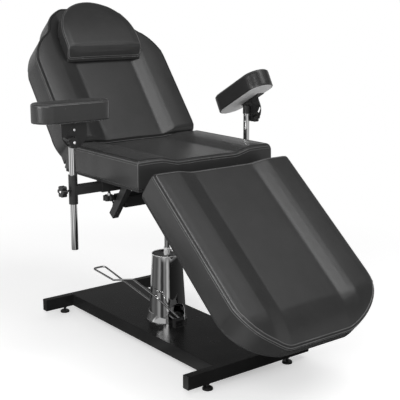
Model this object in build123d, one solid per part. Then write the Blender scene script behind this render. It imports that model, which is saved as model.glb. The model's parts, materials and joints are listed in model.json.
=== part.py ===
from build123d import *
import os
from math import cos, radians, sin

# Frame: +X towards the foot end, +Y to the sitter's left, +Z up, the floor at z = 0, millimetres.
# Shapes are worked out from the pump's axis, then moved so that the origin lies below the box's middle.
PUMP_TO_ORIGIN = 87.2
MIDDLE_TO_ORIGIN = 46.0

OVERRUN = 5.0
RUNNING_GAP = 0.05
SEAT_GAP = 0.3

# Base.
BASE_LENGTH = 1034.0
CROSSBAR_LENGTH = 567.4
CROSSBAR_WIDTH = 30.0
CROSSBAR_HEIGHT = 49.2
CROSSBAR_WALL = 2.0
CAP_THICKNESS = 3.0
CAP_PLUG = 14.0
COVER_HALF_WIDTH = 156.3
COVER_WALL = 3.0
FOOT_CLEARANCE = 25.6
FOOT_RADIUS = 19.3
FOOT_PAD_HEIGHT = 9.0
FOOT_SPAN = 380.0
STUD_RADIUS = 5.0
STUD_REACH = 14.0
JAM_NUT_RADIUS = 9.5
JAM_NUT_HEIGHT = 5.0

# Pump.
PUMP_COVER_BASE_RADIUS = 76.0
PUMP_COVER_TOP_RADIUS = 59.5
PUMP_COVER_HEIGHT = 271.0
PUMP_COVER_WALL = 1.5
PUMP_LID_DROP = 5.0
PUMP_LID_THICKNESS = 3.0
NOTCH_RADIUS = 41.0
NOTCH_HEIGHT = 80.0
LEVER_SLOT_WIDTH = 14.0
LEVER_SLOT_BOTTOM = 24.0
LEVER_SLOT_TOP = 72.0
FLANGE_RADIUS = 66.0
FLANGE_THICKNESS = 8.0
FLANGE_BOLT_CIRCLE_RADIUS = 48.0
FLANGE_BOLT_RADIUS = 5.0
FLANGE_BOLT_HEAD = 6.0
FLANGE_BOLTS = 4
PUMP_BODY_RADIUS = 26.0
PUMP_BODY_HEIGHT = 250.0
VALVE_REACH = 50.0
VALVE_HALF_WIDTH = 16.0
VALVE_HEIGHT = 26.0
COLLAR_RADIUS = 13.0
COLLAR_RISE = 26.0
RAM_RADIUS = 10.0
RAM_PLATE_SIDE = 120.0
RAM_PLATE_THICKNESS = 10.0

# Foot lever: its axis, its reach to the end bar, and the rod's two legs.
LEVER_AXIS_X = 107.0
LEVER_AXIS_RISE = 27.2
LEVER_REACH = 528.0
LEVER_RISE = 95.0
LEVER_ROD_RADIUS = 4.0
LEVER_BEND = 14.0
FAR_LEG_Y = -34.0
NEAR_LEG_Y = -90.0
NEAR_END_Y = -15.0
ROCKER_RADIUS = 9.0
ROCKER_FROM_Y = -42.0
ROCKER_TO_Y = -7.0
LEVER_PIN_RADIUS = 5.0
LEVER_EAR_THICKNESS = 3.5
LEVER_EAR_HALF_LENGTH = 10.0
LEVER_EAR_GAP = 0.5
LEVER_FOOT_THICKNESS = 4.0
NEAR_LEG_SHARES = ((1.0, 1.0), (0.697, 0.884), (0.55, 1.10), (0.411, 1.305), (0.089, 0.958))

# Stack under the seat, from the saddle upwards.
SADDLE_BOTTOM = 570.0
SADDLE_HEIGHT = 40.0
SADDLE_LENGTH = 80.0
SADDLE_HALF_WIDTH = 217.5
SADDLE_ARM_WIDTH = 25.0
SADDLE_ARM_DEPTH = 30.0
SADDLE_ARM_ANGLE = 52.5
SADDLE_ARM_TIP_X = -23.0
SADDLE_ARM_TIP_DROP = 39.0
TUBE_WALL = 3.0
RAIL_HEIGHT = 25.0
RAIL_WIDTH = 30.0
RAIL_SPAN = 220.0
CROSS_TUBE = 40.0
FRAME_CROSS_HALF_WIDTH = 140.0
FRAME_CROSS_INSET = 44.0
BOARD_THICKNESS = 10.0
BOARD_INSET = 6.0
TIE_ROD_RADIUS = 3.5
TIE_ROD_TOP_X = -87.0
TIE_ROD_FOOT_ALONG = 34.0
TIE_BLOCK = 20.0
TIE_BLOCK_HEIGHT = 12.0

# Pads.
PAD_HALF_WIDTH = 308.0
PAD_RECESS = 16.0
PAD_SLOPE_OUTER = 200.0
PAD_SLOPE_INNER = 135.0
PAD_EDGE_RADIUS = 9.0
PAD_CROWN = 2.0
PAD_SIDE_BULGE = 1.5
SEAT_FRONT = 262.0
SEAT_REAR_TOP = -205.5
SEAT_REAR_BOTTOM = -256.0
SEAT_PAD_THICKNESS = 103.0
LEG_PAD_LENGTH = 720.0
LEG_PAD_THICKNESS = 111.0
LEG_FALL_SHARES = ((0.835, 0.0), (0.926, 0.15), (0.997, 0.413))
LEG_END_SHARES = ((0.75, 1.0), (0.859, 0.926), (0.935, 0.766), (0.974, 0.617), (0.997, 0.4545))
BACK_PAD_LENGTH = 634.0
BACK_PAD_THICKNESS = 112.0
BACK_START_SHARES = ((-0.013, 0.955), (0.036, 0.99), (0.126, 1.0))
BACK_END_SHARES = ((0.568, 1.0), (0.67, 0.929), (0.765, 0.773), (0.806, 0.672), (0.852, 0.63),
                   (0.935, 0.51), (0.994, 0.325))
BACK_FOOT_SHARES = ((0.016, 0.0), (-0.012, -0.06), (-0.03, -0.2), (-0.058, -0.5), (-0.074, -0.8))

# Hinges of the back and leg rests, and the angles of the photographed pose.
HINGE_DROP_BELOW_BOARD = 11.0
LEG_HINGE_AHEAD = 7.5
LEG_HINGE_ALONG = 2.7
LEG_ANGLE = 39.7
BACK_HINGE_BEHIND = 8.4
BACK_HINGE_ALONG = -85.6
BACK_ANGLE = 52.0
SHAFT_RADIUS = 5.5
SHAFT_END = 2.0
LUG_THICKNESS = 12.0
LUG_HALF_LENGTH = 14.0
LUG_SHOULDER = 10.0
REST_RAIL_WIDTH = 25.0
REST_RAIL_HEIGHT = 25.0
REST_RAIL_GAP = 0.5
REST_RAIL_END = 11.7
LEG_RAIL_SHARE = 0.74
BACK_RAIL_SHARE = 0.8
REST_CROSS_SHARES = (0.093, 0.42, 0.7)

# Gas springs: the pins on the saddle and on the two rests.
SPRING_PIN_REACH = 33.0
SPRING_PIN_RADIUS = 4.0
SPRING_EYE_RADIUS = 9.0
SPRING_EYE_WIDTH = 14.0
SPRING_FORK_THICKNESS = 5.0
SPRING_FORK_GAP = 0.5
OPEN_EYE_WIDTH = 24.0
OPEN_EYE_HOLE = 9.6
OPEN_EYE_RADIUS = 14.0
SPRING_CYLINDER_RADIUS = 12.0
SPRING_CYLINDER_WALL = 2.0
SPRING_ROD_RADIUS = 5.0
SPRING_CAP = 8.0
BACK_PIN_ALONG = 18.1
BACK_PIN_DEPTH = 78.4
LEG_PIN_ALONG = 96.2
LEG_PIN_DEPTH = 26.7
BACK_SPRING_DEAD_LENGTH = 118.0
LEG_SPRING_DEAD_LENGTH = 130.0
BACK_SPRING_STROKE_IN = 62.0
LEG_SPRING_STROKE_IN = 16.0
CRANK_HUB_RADIUS = 14.0

# Head pillow.
PILLOW_RADIUS = 176.0
PILLOW_TOP = 624.0
PILLOW_FOOT_FRONT = 389.0
PILLOW_FOOT_REAR = 353.0
PILLOW_THICKNESS = 50.0
PILLOW_SINK = 5.2

# Armrests.
ARM_X = -5.0
ARM_TUBE_HALF_LENGTH = 301.0
SLIDE_SIZE = 33.6
SLIDE_INNER_END = 160.0
POST_RADIUS = 12.7
POST_WALL = 2.0
POST_Y = 412.0
POST_LENGTH = 448.0
RIGHT_POST_BOTTOM = 432.0
LEFT_POST_RAISE = 20.0
SLEEVE_RADIUS = 16.5
SLEEVE_BELOW = 51.0
SLEEVE_ABOVE = 57.0
KNOB_RADIUS = 14.5
KNOB_LOBE_RADIUS = 7.5
KNOB_LOBES = 6
KNOB_THICKNESS = 19.0
KNOB_STUD_RADIUS = 4.0
SLEEVE_KNOB_REACH = 43.0
UNDER_KNOB_Y = 261.0
UNDER_KNOB_DROP = 29.0
TONGUE_THICKNESS = 3.0
TONGUE_HALF_WIDTH = 19.0
TONGUE_CAP_HEIGHT = 30.0
TONGUE_CAP_WALL = 2.3
TONGUE_TOP_RADIUS = 8.0
PIVOT_ABOVE_POST = 18.0
PIVOT_RADIUS = 4.0
PIVOT_HEAD = 7.0
PIVOT_HEAD_THICKNESS = 3.0
PLATE_THICKNESS = 3.0
PLATE_GAP = 0.3
PLATE_HALF_WIDTH = 52.0
PLATE_DEPTH = 95.0
PIVOT_BELOW_PAD = 10.0
LOCK_RADIUS = 64.0
LOCK_ANGLE = 12.0
TILT_LIMIT = 30.0
LOCK_KNOB_REACH = 13.0
FLANGE_HALF_LENGTH = 60.0
FLANGE_WIDTH = 34.0
ARM_PAD_LENGTH = 302.0
ARM_PAD_WIDTH = 118.0
ARM_PAD_THICKNESS = 62.0
ARM_BOARD_THICKNESS = 8.0
ARM_BOARD_INSET = 5.0
RIGHT_ARM_YAW = -90.0
LEFT_ARM_YAW = 0.0
LEFT_ARM_TILT = 28.5

# Places that follow from the sizes above.
BAR_TOP = FOOT_CLEARANCE + CROSSBAR_HEIGHT
CROSSBAR_X = (BASE_LENGTH - CROSSBAR_WIDTH) / 2
LEVER_AXIS_Z = BAR_TOP + LEVER_AXIS_RISE
RAIL_BOTTOM = SADDLE_BOTTOM + SADDLE_HEIGHT
RAIL_TOP = RAIL_BOTTOM + RAIL_HEIGHT
BOARD_BOTTOM = RAIL_TOP + CROSS_TUBE
PAD_BOTTOM = BOARD_BOTTOM + BOARD_THICKNESS
SEAT_TOP = PAD_BOTTOM + SEAT_PAD_THICKNESS
SLIDE_Z = RAIL_TOP + CROSS_TUBE / 2
LEG_DEPTH = LEG_PAD_THICKNESS + BOARD_THICKNESS
BACK_DEPTH = BACK_PAD_THICKNESS + BOARD_THICKNESS
LEG_HINGE = Vector(SEAT_FRONT + LEG_HINGE_AHEAD, 0, SEAT_TOP - LEG_DEPTH - HINGE_DROP_BELOW_BOARD)
BACK_HINGE = Vector(SEAT_REAR_BOTTOM - BACK_HINGE_BEHIND, 0, SEAT_TOP - BACK_DEPTH - HINGE_DROP_BELOW_BOARD)
SPRING_SEAT_X = SADDLE_LENGTH / 2 + SPRING_PIN_REACH
SPRING_SEAT_Z = SADDLE_BOTTOM + SADDLE_HEIGHT / 2


def turned(x, z, degrees_down):
    """A point of the X-Z plane, turned so that +X dips by an angle."""
    angle = radians(degrees_down)
    return Vector(x * cos(angle) + z * sin(angle), 0, z * cos(angle) - x * sin(angle))


def leg_plane():
    """The leg rest's own frame: +X along it from the seat, +Z out of its top, origin at its seat end."""
    depth = LEG_DEPTH + HINGE_DROP_BELOW_BOARD
    origin = LEG_HINGE + turned(-LEG_HINGE_ALONG, depth, LEG_ANGLE)
    return Plane(origin=origin, x_dir=turned(1, 0, LEG_ANGLE), z_dir=turned(0, 1, LEG_ANGLE))


def back_plane():
    """The back rest's own frame: +X along it towards the head, +Z out of its top, origin at its foot."""
    angle = radians(BACK_ANGLE)
    along = Vector(-cos(angle), 0, sin(angle))
    out = Vector(sin(angle), 0, cos(angle))
    origin = BACK_HINGE - along * BACK_HINGE_ALONG + out * (BACK_DEPTH + HINGE_DROP_BELOW_BOARD)
    return Plane(origin=origin, x_dir=along, z_dir=out)


def placed(plane, shape):
    """A shape drawn in a rest's own frame, moved into the chair's frame."""
    return plane.location * shape


def block(x_from, x_to, y_from, y_to, z_from, z_to):
    """A box between six planes."""
    centre = Pos((x_from + x_to) / 2, (y_from + y_to) / 2, (z_from + z_to) / 2)
    return centre * Box(x_to - x_from, y_to - y_from, z_to - z_from)


def rod(radius, start, end):
    """A round bar between two points."""
    start = Vector(*start)
    reach = Vector(*end) - start
    plane = Plane(origin=start, z_dir=reach)
    return plane.location * Cylinder(radius, reach.length, align=(Align.CENTER, Align.CENTER, Align.MIN))


def across(radius, x, z, y_from, y_to):
    """A round bar that runs along Y."""
    return rod(radius, (x, y_from, z), (x, y_to, z))


def face_of(start, steps):
    """A flat face: each step is an end point, or a middle and an end point of an arc."""
    edges = []
    here = Vector(*start)
    for step in steps:
        ends = [Vector(*point) for point in step]
        if len(ends) == 1:
            edges.append(Edge.make_line(here, ends[0]))
        else:
            edges.append(Edge.make_three_point_arc(here, ends[0], ends[1]))
        here = ends[-1]
    edges.append(Edge.make_line(here, Vector(*start)))
    return Face(Wire(edges))


def prism(face, reach):
    """A face swept straight along a vector."""
    reach = Vector(*reach)
    return extrude(face, amount=reach.length, dir=reach)


def pad_section(thickness):
    """The cross-section of a long pad: side bolsters, slopes and a flat middle, all slightly crowned."""
    wide = PAD_HALF_WIDTH
    edge = PAD_EDGE_RADIUS
    low = -PAD_RECESS
    bevel = edge * (1 - cos(radians(45)))
    ridge = (wide - edge + PAD_SLOPE_OUTER) / 2

    def half_outline(side):
        return [
            ((0, side * (wide + PAD_SIDE_BULGE), -thickness / 2), (0, side * wide, -edge)),
            ((0, side * (wide - bevel), -bevel), (0, side * (wide - edge), 0)),
            ((0, side * ridge, PAD_CROWN), (0, side * PAD_SLOPE_OUTER, 0)),
            ((0, side * PAD_SLOPE_INNER, low),),
        ]

    first = half_outline(1)
    mirrored = half_outline(-1)
    second = []
    for index in range(len(mirrored) - 1, -1, -1):
        before = mirrored[index - 1][-1] if index else (0, -wide, -thickness)
        second.append(mirrored[index][:-1] + (before,))
    middle = ((0, 0, low + PAD_CROWN), mirrored[-1][-1])
    return face_of((0, wide, -thickness), first + [middle] + second)


def plain_section(thickness):
    """The outer outline of a long pad's cross-section, with a level top."""
    wide = PAD_HALF_WIDTH
    edge = PAD_EDGE_RADIUS
    bevel = edge * (1 - cos(radians(45)))
    return face_of((0, wide, -thickness), [
        ((0, wide + PAD_SIDE_BULGE, -thickness / 2), (0, wide, -edge)),
        ((0, wide - bevel, -bevel), (0, wide - edge, 0)),
        ((0, edge - wide, 0),),
        ((0, bevel - wide, -bevel), (0, -wide, -edge)),
        ((0, -wide - PAD_SIDE_BULGE, -thickness / 2), (0, -wide, -thickness)),
    ])


def pad_body(thickness, side_profile, plan, x_from, x_to):
    """A long pad: the cross-section, side profile and plan outline, each swept and all met together."""
    body = Pos(x_from - OVERRUN, 0, 0) * prism(pad_section(thickness), (x_to - x_from + OVERRUN * 2, 0, 0))
    wide = PAD_HALF_WIDTH + OVERRUN
    body = body & (Pos(0, -wide, 0) * prism(side_profile, (0, wide * 2, 0)))
    body = body & (Pos(0, 0, -thickness - OVERRUN) * prism(plan, (0, 0, thickness + OVERRUN * 2)))
    return body


def box_tube(length_x, length_y, length_z, wall, open_axis):
    """A square tube about the origin, open at both ends along one axis."""
    hollow = [length_x - wall * 2, length_y - wall * 2, length_z - wall * 2]
    hollow[open_axis] = (length_x, length_y, length_z)[open_axis] + OVERRUN
    return Box(length_x, length_y, length_z) - Box(*hollow)


def star_knob():
    """A lobed clamp knob about +Z, its middle at the origin."""
    knob = Cylinder(KNOB_RADIUS, KNOB_THICKNESS)
    for index in range(KNOB_LOBES):
        spoke = Rot(0, 0, 360 * index / KNOB_LOBES)
        knob = knob + spoke * Pos(KNOB_RADIUS, 0, 0) * Cylinder(KNOB_LOBE_RADIUS, KNOB_THICKNESS)
    return knob


def base_cover():
    """The folded sheet cover between the crossbars, open below."""
    inner_end = CROSSBAR_X - CROSSBAR_WIDTH / 2
    shell = block(-inner_end, inner_end, -COVER_HALF_WIDTH, COVER_HALF_WIDTH, FOOT_CLEARANCE, BAR_TOP)
    wall = COVER_WALL
    side = COVER_HALF_WIDTH - wall
    hollow = block(wall - inner_end, inner_end - wall, -side, side, FOOT_CLEARANCE - OVERRUN, BAR_TOP - wall)
    return fillet((shell - hollow).edges().filter_by(Axis.X).group_by(Axis.Z)[-1], COVER_WALL / 2)


def crossbar(end):
    """One crossbar tube, with a hole for each levelling foot's stud."""
    tube = box_tube(CROSSBAR_WIDTH, CROSSBAR_LENGTH, CROSSBAR_HEIGHT, CROSSBAR_WALL, 1)
    bar = Pos(end * CROSSBAR_X, 0, (FOOT_CLEARANCE + BAR_TOP) / 2) * tube
    for side in (-1, 1):
        place = Pos(end * CROSSBAR_X, side * FOOT_SPAN / 2, FOOT_CLEARANCE)
        bar = bar - place * Cylinder(STUD_RADIUS, OVERRUN * 2)
    return bar


def crossbar_caps(end):
    """The two plastic plugs that close one crossbar."""
    caps = []
    z = (FOOT_CLEARANCE + BAR_TOP) / 2
    for side in (-1, 1):
        plate = Pos(end * CROSSBAR_X, side * (CROSSBAR_LENGTH + CAP_THICKNESS) / 2, z)
        plug = Pos(end * CROSSBAR_X, side * (CROSSBAR_LENGTH - CAP_PLUG) / 2, z)
        wide = CROSSBAR_WIDTH - CROSSBAR_WALL * 2
        high = CROSSBAR_HEIGHT - CROSSBAR_WALL * 2
        cap = plate * Box(CROSSBAR_WIDTH, CAP_THICKNESS, CROSSBAR_HEIGHT)
        caps.append(cap + plug * Box(wide, CAP_PLUG, high))
    return Compound(children=[cap.solid() for cap in caps])


def levelling_foot(end, side):
    """A floor pad with its stud and jam nut."""
    x = end * CROSSBAR_X
    y = side * FOOT_SPAN / 2
    pad = rod(FOOT_RADIUS, (x, y, 0), (x, y, FOOT_PAD_HEIGHT))
    pad = chamfer(pad.edges().group_by(Axis.Z)[-1], FOOT_PAD_HEIGHT / 3)
    stud = rod(STUD_RADIUS, (x, y, FOOT_PAD_HEIGHT / 2), (x, y, FOOT_CLEARANCE + STUD_REACH))
    nut = Pos(x, y, FOOT_CLEARANCE - JAM_NUT_HEIGHT)
    return pad + stud + nut * extrude(RegularPolygon(JAM_NUT_RADIUS, 6), JAM_NUT_HEIGHT)


def pump_flange():
    """The pump's bolted foot with its valve block."""
    flange = rod(FLANGE_RADIUS, (0, 0, BAR_TOP), (0, 0, BAR_TOP + FLANGE_THICKNESS))
    for index in range(FLANGE_BOLTS):
        spoke = Rot(0, 0, 360 * (index + 0.5) / FLANGE_BOLTS)
        head = Pos(FLANGE_BOLT_CIRCLE_RADIUS, 0, BAR_TOP + FLANGE_THICKNESS)
        flange = flange + spoke * head * extrude(RegularPolygon(FLANGE_BOLT_RADIUS, 6), FLANGE_BOLT_HEAD)
    top = BAR_TOP + FLANGE_THICKNESS
    half = VALVE_HALF_WIDTH
    valve = block(PUMP_BODY_RADIUS / 2, VALVE_REACH, -half, half, top, top + VALVE_HEIGHT)
    return flange + (valve - rod(PUMP_BODY_RADIUS, (0, 0, BAR_TOP), (0, 0, top + PUMP_BODY_HEIGHT)))


def pump_body():
    """The pump's cylinder, bored for the ram."""
    bottom = BAR_TOP + FLANGE_THICKNESS
    top = bottom + PUMP_BODY_HEIGHT
    bore = rod(RAM_RADIUS + RUNNING_GAP, (0, 0, bottom + FLANGE_THICKNESS), (0, 0, top + OVERRUN))
    return rod(PUMP_BODY_RADIUS, (0, 0, bottom), (0, 0, top)) - bore


def pump_cover():
    """The conical chrome cover: recessed lid, arched notch in front, slot for the lever's far leg."""
    align = (Align.CENTER, Align.CENTER, Align.MIN)
    base_radius = PUMP_COVER_BASE_RADIUS
    top_radius = PUMP_COVER_TOP_RADIUS
    wall = PUMP_COVER_WALL
    base = Pos(0, 0, BAR_TOP)
    shell = base * Cone(base_radius, top_radius, PUMP_COVER_HEIGHT, align=align)
    shell = shell - base * Cone(base_radius - wall, top_radius - wall, PUMP_COVER_HEIGHT, align=align)
    top = BAR_TOP + PUMP_COVER_HEIGHT
    lid_top = top - PUMP_LID_DROP
    lid = rod(top_radius - wall / 2, (0, 0, lid_top - PUMP_LID_THICKNESS), (0, 0, lid_top))
    lid = lid - rod(COLLAR_RADIUS, (0, 0, BAR_TOP), (0, 0, top + OVERRUN))
    arch = BAR_TOP + NOTCH_HEIGHT - NOTCH_RADIUS
    reach = base_radius + OVERRUN
    notch = block(0, reach, -NOTCH_RADIUS, NOTCH_RADIUS, BAR_TOP - OVERRUN, arch)
    notch = notch + rod(NOTCH_RADIUS, (0, 0, arch), (reach, 0, arch))
    half_slot = LEVER_SLOT_WIDTH / 2
    slot_y = FAR_LEG_Y
    slot = block(-reach, 0, slot_y - half_slot, slot_y + half_slot, BAR_TOP + LEVER_SLOT_BOTTOM,
                 BAR_TOP + LEVER_SLOT_TOP)
    return (shell + lid) - notch - slot


def pump_collar():
    """The bright gland collar that stands out of the cover's lid, round the ram."""
    bottom = BAR_TOP + FLANGE_THICKNESS + PUMP_BODY_HEIGHT
    top = BAR_TOP + PUMP_COVER_HEIGHT + COLLAR_RISE
    collar = rod(COLLAR_RADIUS, (0, 0, bottom), (0, 0, top))
    return collar - rod(RAM_RADIUS + RUNNING_GAP, (0, 0, bottom - OVERRUN), (0, 0, top + OVERRUN))


def lever_bracket():
    """Two ears on a foot plate, with the pin that the rocker turns on."""
    half = LEVER_EAR_HALF_LENGTH
    inner_ends = (ROCKER_FROM_Y - LEVER_EAR_GAP, ROCKER_TO_Y + LEVER_EAR_GAP)
    y_from = inner_ends[0] - LEVER_EAR_THICKNESS
    y_to = inner_ends[1] + LEVER_EAR_THICKNESS
    bracket = across(LEVER_PIN_RADIUS, LEVER_AXIS_X, LEVER_AXIS_Z, y_from, y_to)
    bracket = bracket + block(LEVER_AXIS_X - half, LEVER_AXIS_X + half, y_from, y_to, BAR_TOP,
                              BAR_TOP + LEVER_FOOT_THICKNESS)
    for inner, outward in zip(inner_ends, (-1, 1)):
        outer = inner + outward * LEVER_EAR_THICKNESS
        low = min(inner, outer)
        high = max(inner, outer)
        ear = block(LEVER_AXIS_X - half, LEVER_AXIS_X + half, low, high, BAR_TOP, LEVER_AXIS_Z)
        ear = ear + across(half, LEVER_AXIS_X, LEVER_AXIS_Z, low, high)
        ear = ear & block(LEVER_AXIS_X - half, LEVER_AXIS_X + half, low, high, BAR_TOP, LEVER_AXIS_Z + half)
        bracket = bracket + ear
    return bracket


def lever_rocker():
    """The sleeve that turns on the pin and carries both legs of the rod."""
    sleeve = across(ROCKER_RADIUS, LEVER_AXIS_X, LEVER_AXIS_Z, ROCKER_FROM_Y, ROCKER_TO_Y)
    start = ROCKER_FROM_Y - OVERRUN
    stop = ROCKER_TO_Y + OVERRUN
    return sleeve - across(LEVER_PIN_RADIUS + RUNNING_GAP, LEVER_AXIS_X, LEVER_AXIS_Z, start, stop)


def foot_lever():
    """One bent rod: the near leg beside the cover, the end bar, and the far leg through the cover."""
    def at(reach_share, rise_share, y):
        return (LEVER_AXIS_X - LEVER_REACH * reach_share, y, LEVER_AXIS_Z + LEVER_RISE * rise_share)

    points = [(LEVER_AXIS_X, FAR_LEG_Y, LEVER_AXIS_Z), at(1, 1, FAR_LEG_Y)]
    points = points + [at(reach, rise, NEAR_LEG_Y) for reach, rise in NEAR_LEG_SHARES]
    points.append((LEVER_AXIS_X, NEAR_END_Y, LEVER_AXIS_Z))
    path = FilletPolyline(*points, radius=LEVER_BEND)
    section = Plane(origin=path @ 0, z_dir=path % 0) * Circle(LEVER_ROD_RADIUS)
    lever = sweep(section, path=path)
    return lever - across(ROCKER_RADIUS, LEVER_AXIS_X, LEVER_AXIS_Z, ROCKER_FROM_Y, ROCKER_TO_Y)


def pump_ram():
    """The chrome ram, from low in the pump's bore to the plate under the saddle."""
    bottom = BAR_TOP + FLANGE_THICKNESS * 2 + PUMP_BODY_HEIGHT / 2
    return rod(RAM_RADIUS, (0, 0, bottom), (0, 0, SADDLE_BOTTOM - RAM_PLATE_THICKNESS))


def ram_plate():
    """The square plate on the ram, in the swivel under the saddle."""
    half = RAM_PLATE_SIDE / 2
    return block(-half, half, -half, half, SADDLE_BOTTOM - RAM_PLATE_THICKNESS, SADDLE_BOTTOM - SEAT_GAP)


def spring_fork(end):
    """Two ears and a pin that hold one gas spring's cylinder on the saddle."""
    inner = SPRING_EYE_WIDTH / 2 + SPRING_FORK_GAP
    outer = inner + SPRING_FORK_THICKNESS
    x = end * SPRING_SEAT_X
    near = end * SADDLE_LENGTH / 2
    fork = across(SPRING_PIN_RADIUS, x, SPRING_SEAT_Z, -outer, outer)
    radius = SPRING_EYE_RADIUS
    for y_from, y_to in ((-outer, -inner), (inner, outer)):
        fork = fork + across(radius, x, SPRING_SEAT_Z, y_from, y_to)
        low = SPRING_SEAT_Z - radius
        high = SPRING_SEAT_Z + radius
        fork = fork + block(min(x, near), max(x, near), y_from, y_to, low, high)
    return fork


def saddle_frame():
    """The cross member over the ram, its two inclined arms, and the forks of the gas springs."""
    tube = box_tube(SADDLE_LENGTH, SADDLE_HALF_WIDTH * 2, SADDLE_HEIGHT, TUBE_WALL, 1)
    frame = Pos(0, 0, SPRING_SEAT_Z) * tube
    rise = BOARD_BOTTOM - SADDLE_BOTTOM + SADDLE_ARM_TIP_DROP
    length = rise / sin(radians(SADDLE_ARM_ANGLE)) + SADDLE_ARM_DEPTH
    arm = Pos(length / 2, 0, 0) * box_tube(length, SADDLE_ARM_WIDTH, SADDLE_ARM_DEPTH, TUBE_WALL, 0)
    y = SADDLE_HALF_WIDTH + SADDLE_ARM_WIDTH / 2
    above = block(-BASE_LENGTH, BASE_LENGTH, -BASE_LENGTH, BASE_LENGTH, BOARD_BOTTOM, BOARD_BOTTOM * 2)
    for side in (-1, 1):
        place = Pos(SADDLE_ARM_TIP_X, side * y, SADDLE_BOTTOM - SADDLE_ARM_TIP_DROP)
        frame = frame + (place * Rot(0, -SADDLE_ARM_ANGLE, 0) * arm - above)
    return frame + spring_fork(-1) + spring_fork(1)


def tie_rod(side):
    """The thin rod from the tip of one saddle arm to its block under the board."""
    y = side * (SADDLE_HALF_WIDTH + SADDLE_ARM_WIDTH / 2)
    angle = radians(SADDLE_ARM_ANGLE)
    along = TIE_ROD_FOOT_ALONG
    half = SADDLE_ARM_DEPTH / 2
    foot_x = SADDLE_ARM_TIP_X + along * cos(angle) - half * sin(angle)
    foot_z = SADDLE_BOTTOM - SADDLE_ARM_TIP_DROP + along * sin(angle) + half * cos(angle)
    top_z = BOARD_BOTTOM - TIE_BLOCK_HEIGHT
    half_block = TIE_BLOCK / 2
    top = block(TIE_ROD_TOP_X - half_block, TIE_ROD_TOP_X + half_block, y - half_block, y + half_block, top_z,
                BOARD_BOTTOM)
    turn = Rot(0, -SADDLE_ARM_ANGLE, 0)
    lug = Pos(foot_x, y, foot_z) * turn * Pos(0, 0, half_block / 2) * Box(half_block, half_block, half_block)
    middle = Pos(foot_x, y, foot_z) * turn * Pos(0, 0, half_block / 2)
    start = middle.position
    return top + lug + rod(TIE_ROD_RADIUS, start, (TIE_ROD_TOP_X, y, top_z + TIE_BLOCK_HEIGHT / 2))


def hinge_lugs(hinge, inner_y):
    """Two plates that rise from the seat rails to one hinge shaft, bored for it."""
    lugs = []
    for side in (-1, 1):
        y_from = min(side * inner_y, side * (inner_y + LUG_THICKNESS))
        y_to = y_from + LUG_THICKNESS
        x = hinge.X
        plate = block(x - LUG_HALF_LENGTH, x + LUG_HALF_LENGTH, y_from, y_to, RAIL_BOTTOM, hinge.Z)
        plate = plate + across(LUG_SHOULDER, x, hinge.Z, y_from, y_to)
        lugs.append(plate - across(SHAFT_RADIUS + RUNNING_GAP, x, hinge.Z, y_from - OVERRUN, y_to + OVERRUN))
    return lugs


def seat_frame():
    """Two rails, two cross members on top of them, and the lugs of both hinges."""
    rear = BACK_HINGE.X - LUG_HALF_LENGTH
    front = LEG_HINGE.X + LUG_HALF_LENGTH
    middle = RAIL_SPAN / 2
    half = RAIL_WIDTH / 2
    frame = None
    for side in (-1, 1):
        rail = block(rear, front, side * middle - half, side * middle + half, RAIL_BOTTOM, RAIL_TOP)
        frame = rail if frame is None else frame + rail
    wide = FRAME_CROSS_HALF_WIDTH
    for x in (SEAT_REAR_BOTTOM + FRAME_CROSS_INSET, SEAT_FRONT - FRAME_CROSS_INSET):
        cross = box_tube(CROSS_TUBE, wide * 2, CROSS_TUBE, TUBE_WALL, 1)
        frame = frame + Pos(x, 0, SLIDE_Z) * cross
    for hinge in (BACK_HINGE, LEG_HINGE):
        for lug in hinge_lugs(hinge, middle + half - REST_RAIL_GAP):
            frame = frame + lug
    return frame


def armrest_cross_tube():
    """The square tube under the board that both armrest slides run in."""
    tube = Pos(ARM_X, 0, SLIDE_Z) * box_tube(CROSS_TUBE, ARM_TUBE_HALF_LENGTH * 2, CROSS_TUBE, TUBE_WALL, 1)
    for side in (-1, 1):
        hole = Cylinder(KNOB_STUD_RADIUS + RUNNING_GAP, OVERRUN * 2)
        tube = tube - Pos(ARM_X, side * UNDER_KNOB_Y, RAIL_TOP) * hole
    return tube


def seat_board():
    """The plywood board under the seat pad."""
    wide = PAD_HALF_WIDTH - BOARD_INSET
    rear = SEAT_REAR_BOTTOM + BOARD_INSET
    return block(rear, SEAT_FRONT - BOARD_INSET, -wide, wide, BOARD_BOTTOM, PAD_BOTTOM)


def seat_pad():
    """The seat pad: upright front, slanted rear."""
    edge = PAD_EDGE_RADIUS
    bevel = edge * (1 - cos(radians(45)))
    deep = -SEAT_PAD_THICKNESS
    front = SEAT_FRONT
    side = face_of((SEAT_REAR_BOTTOM, 0, deep), [
        ((front, 0, deep),),
        ((front + PAD_SIDE_BULGE, 0, deep / 2), (front, 0, -edge)),
        ((front - bevel, 0, -bevel), (front - edge, 0, 0)),
        ((front - edge, 0, OVERRUN),),
        ((SEAT_REAR_TOP + edge, 0, OVERRUN),),
        ((SEAT_REAR_TOP + edge, 0, 0),),
        ((SEAT_REAR_TOP + bevel / 2, 0, -bevel), (SEAT_REAR_TOP - bevel, 0, -edge)),
    ])
    wide = PAD_HALF_WIDTH + OVERRUN
    plan = face_of((SEAT_REAR_BOTTOM - OVERRUN, -wide, 0), [
        ((front + OVERRUN, -wide, 0),),
        ((front + OVERRUN, wide, 0),),
        ((SEAT_REAR_BOTTOM - OVERRUN, wide, 0),),
    ])
    pad = pad_body(SEAT_PAD_THICKNESS, side, plan, SEAT_REAR_BOTTOM, front + PAD_SIDE_BULGE)
    return Pos(0, 0, SEAT_TOP) * pad


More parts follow.
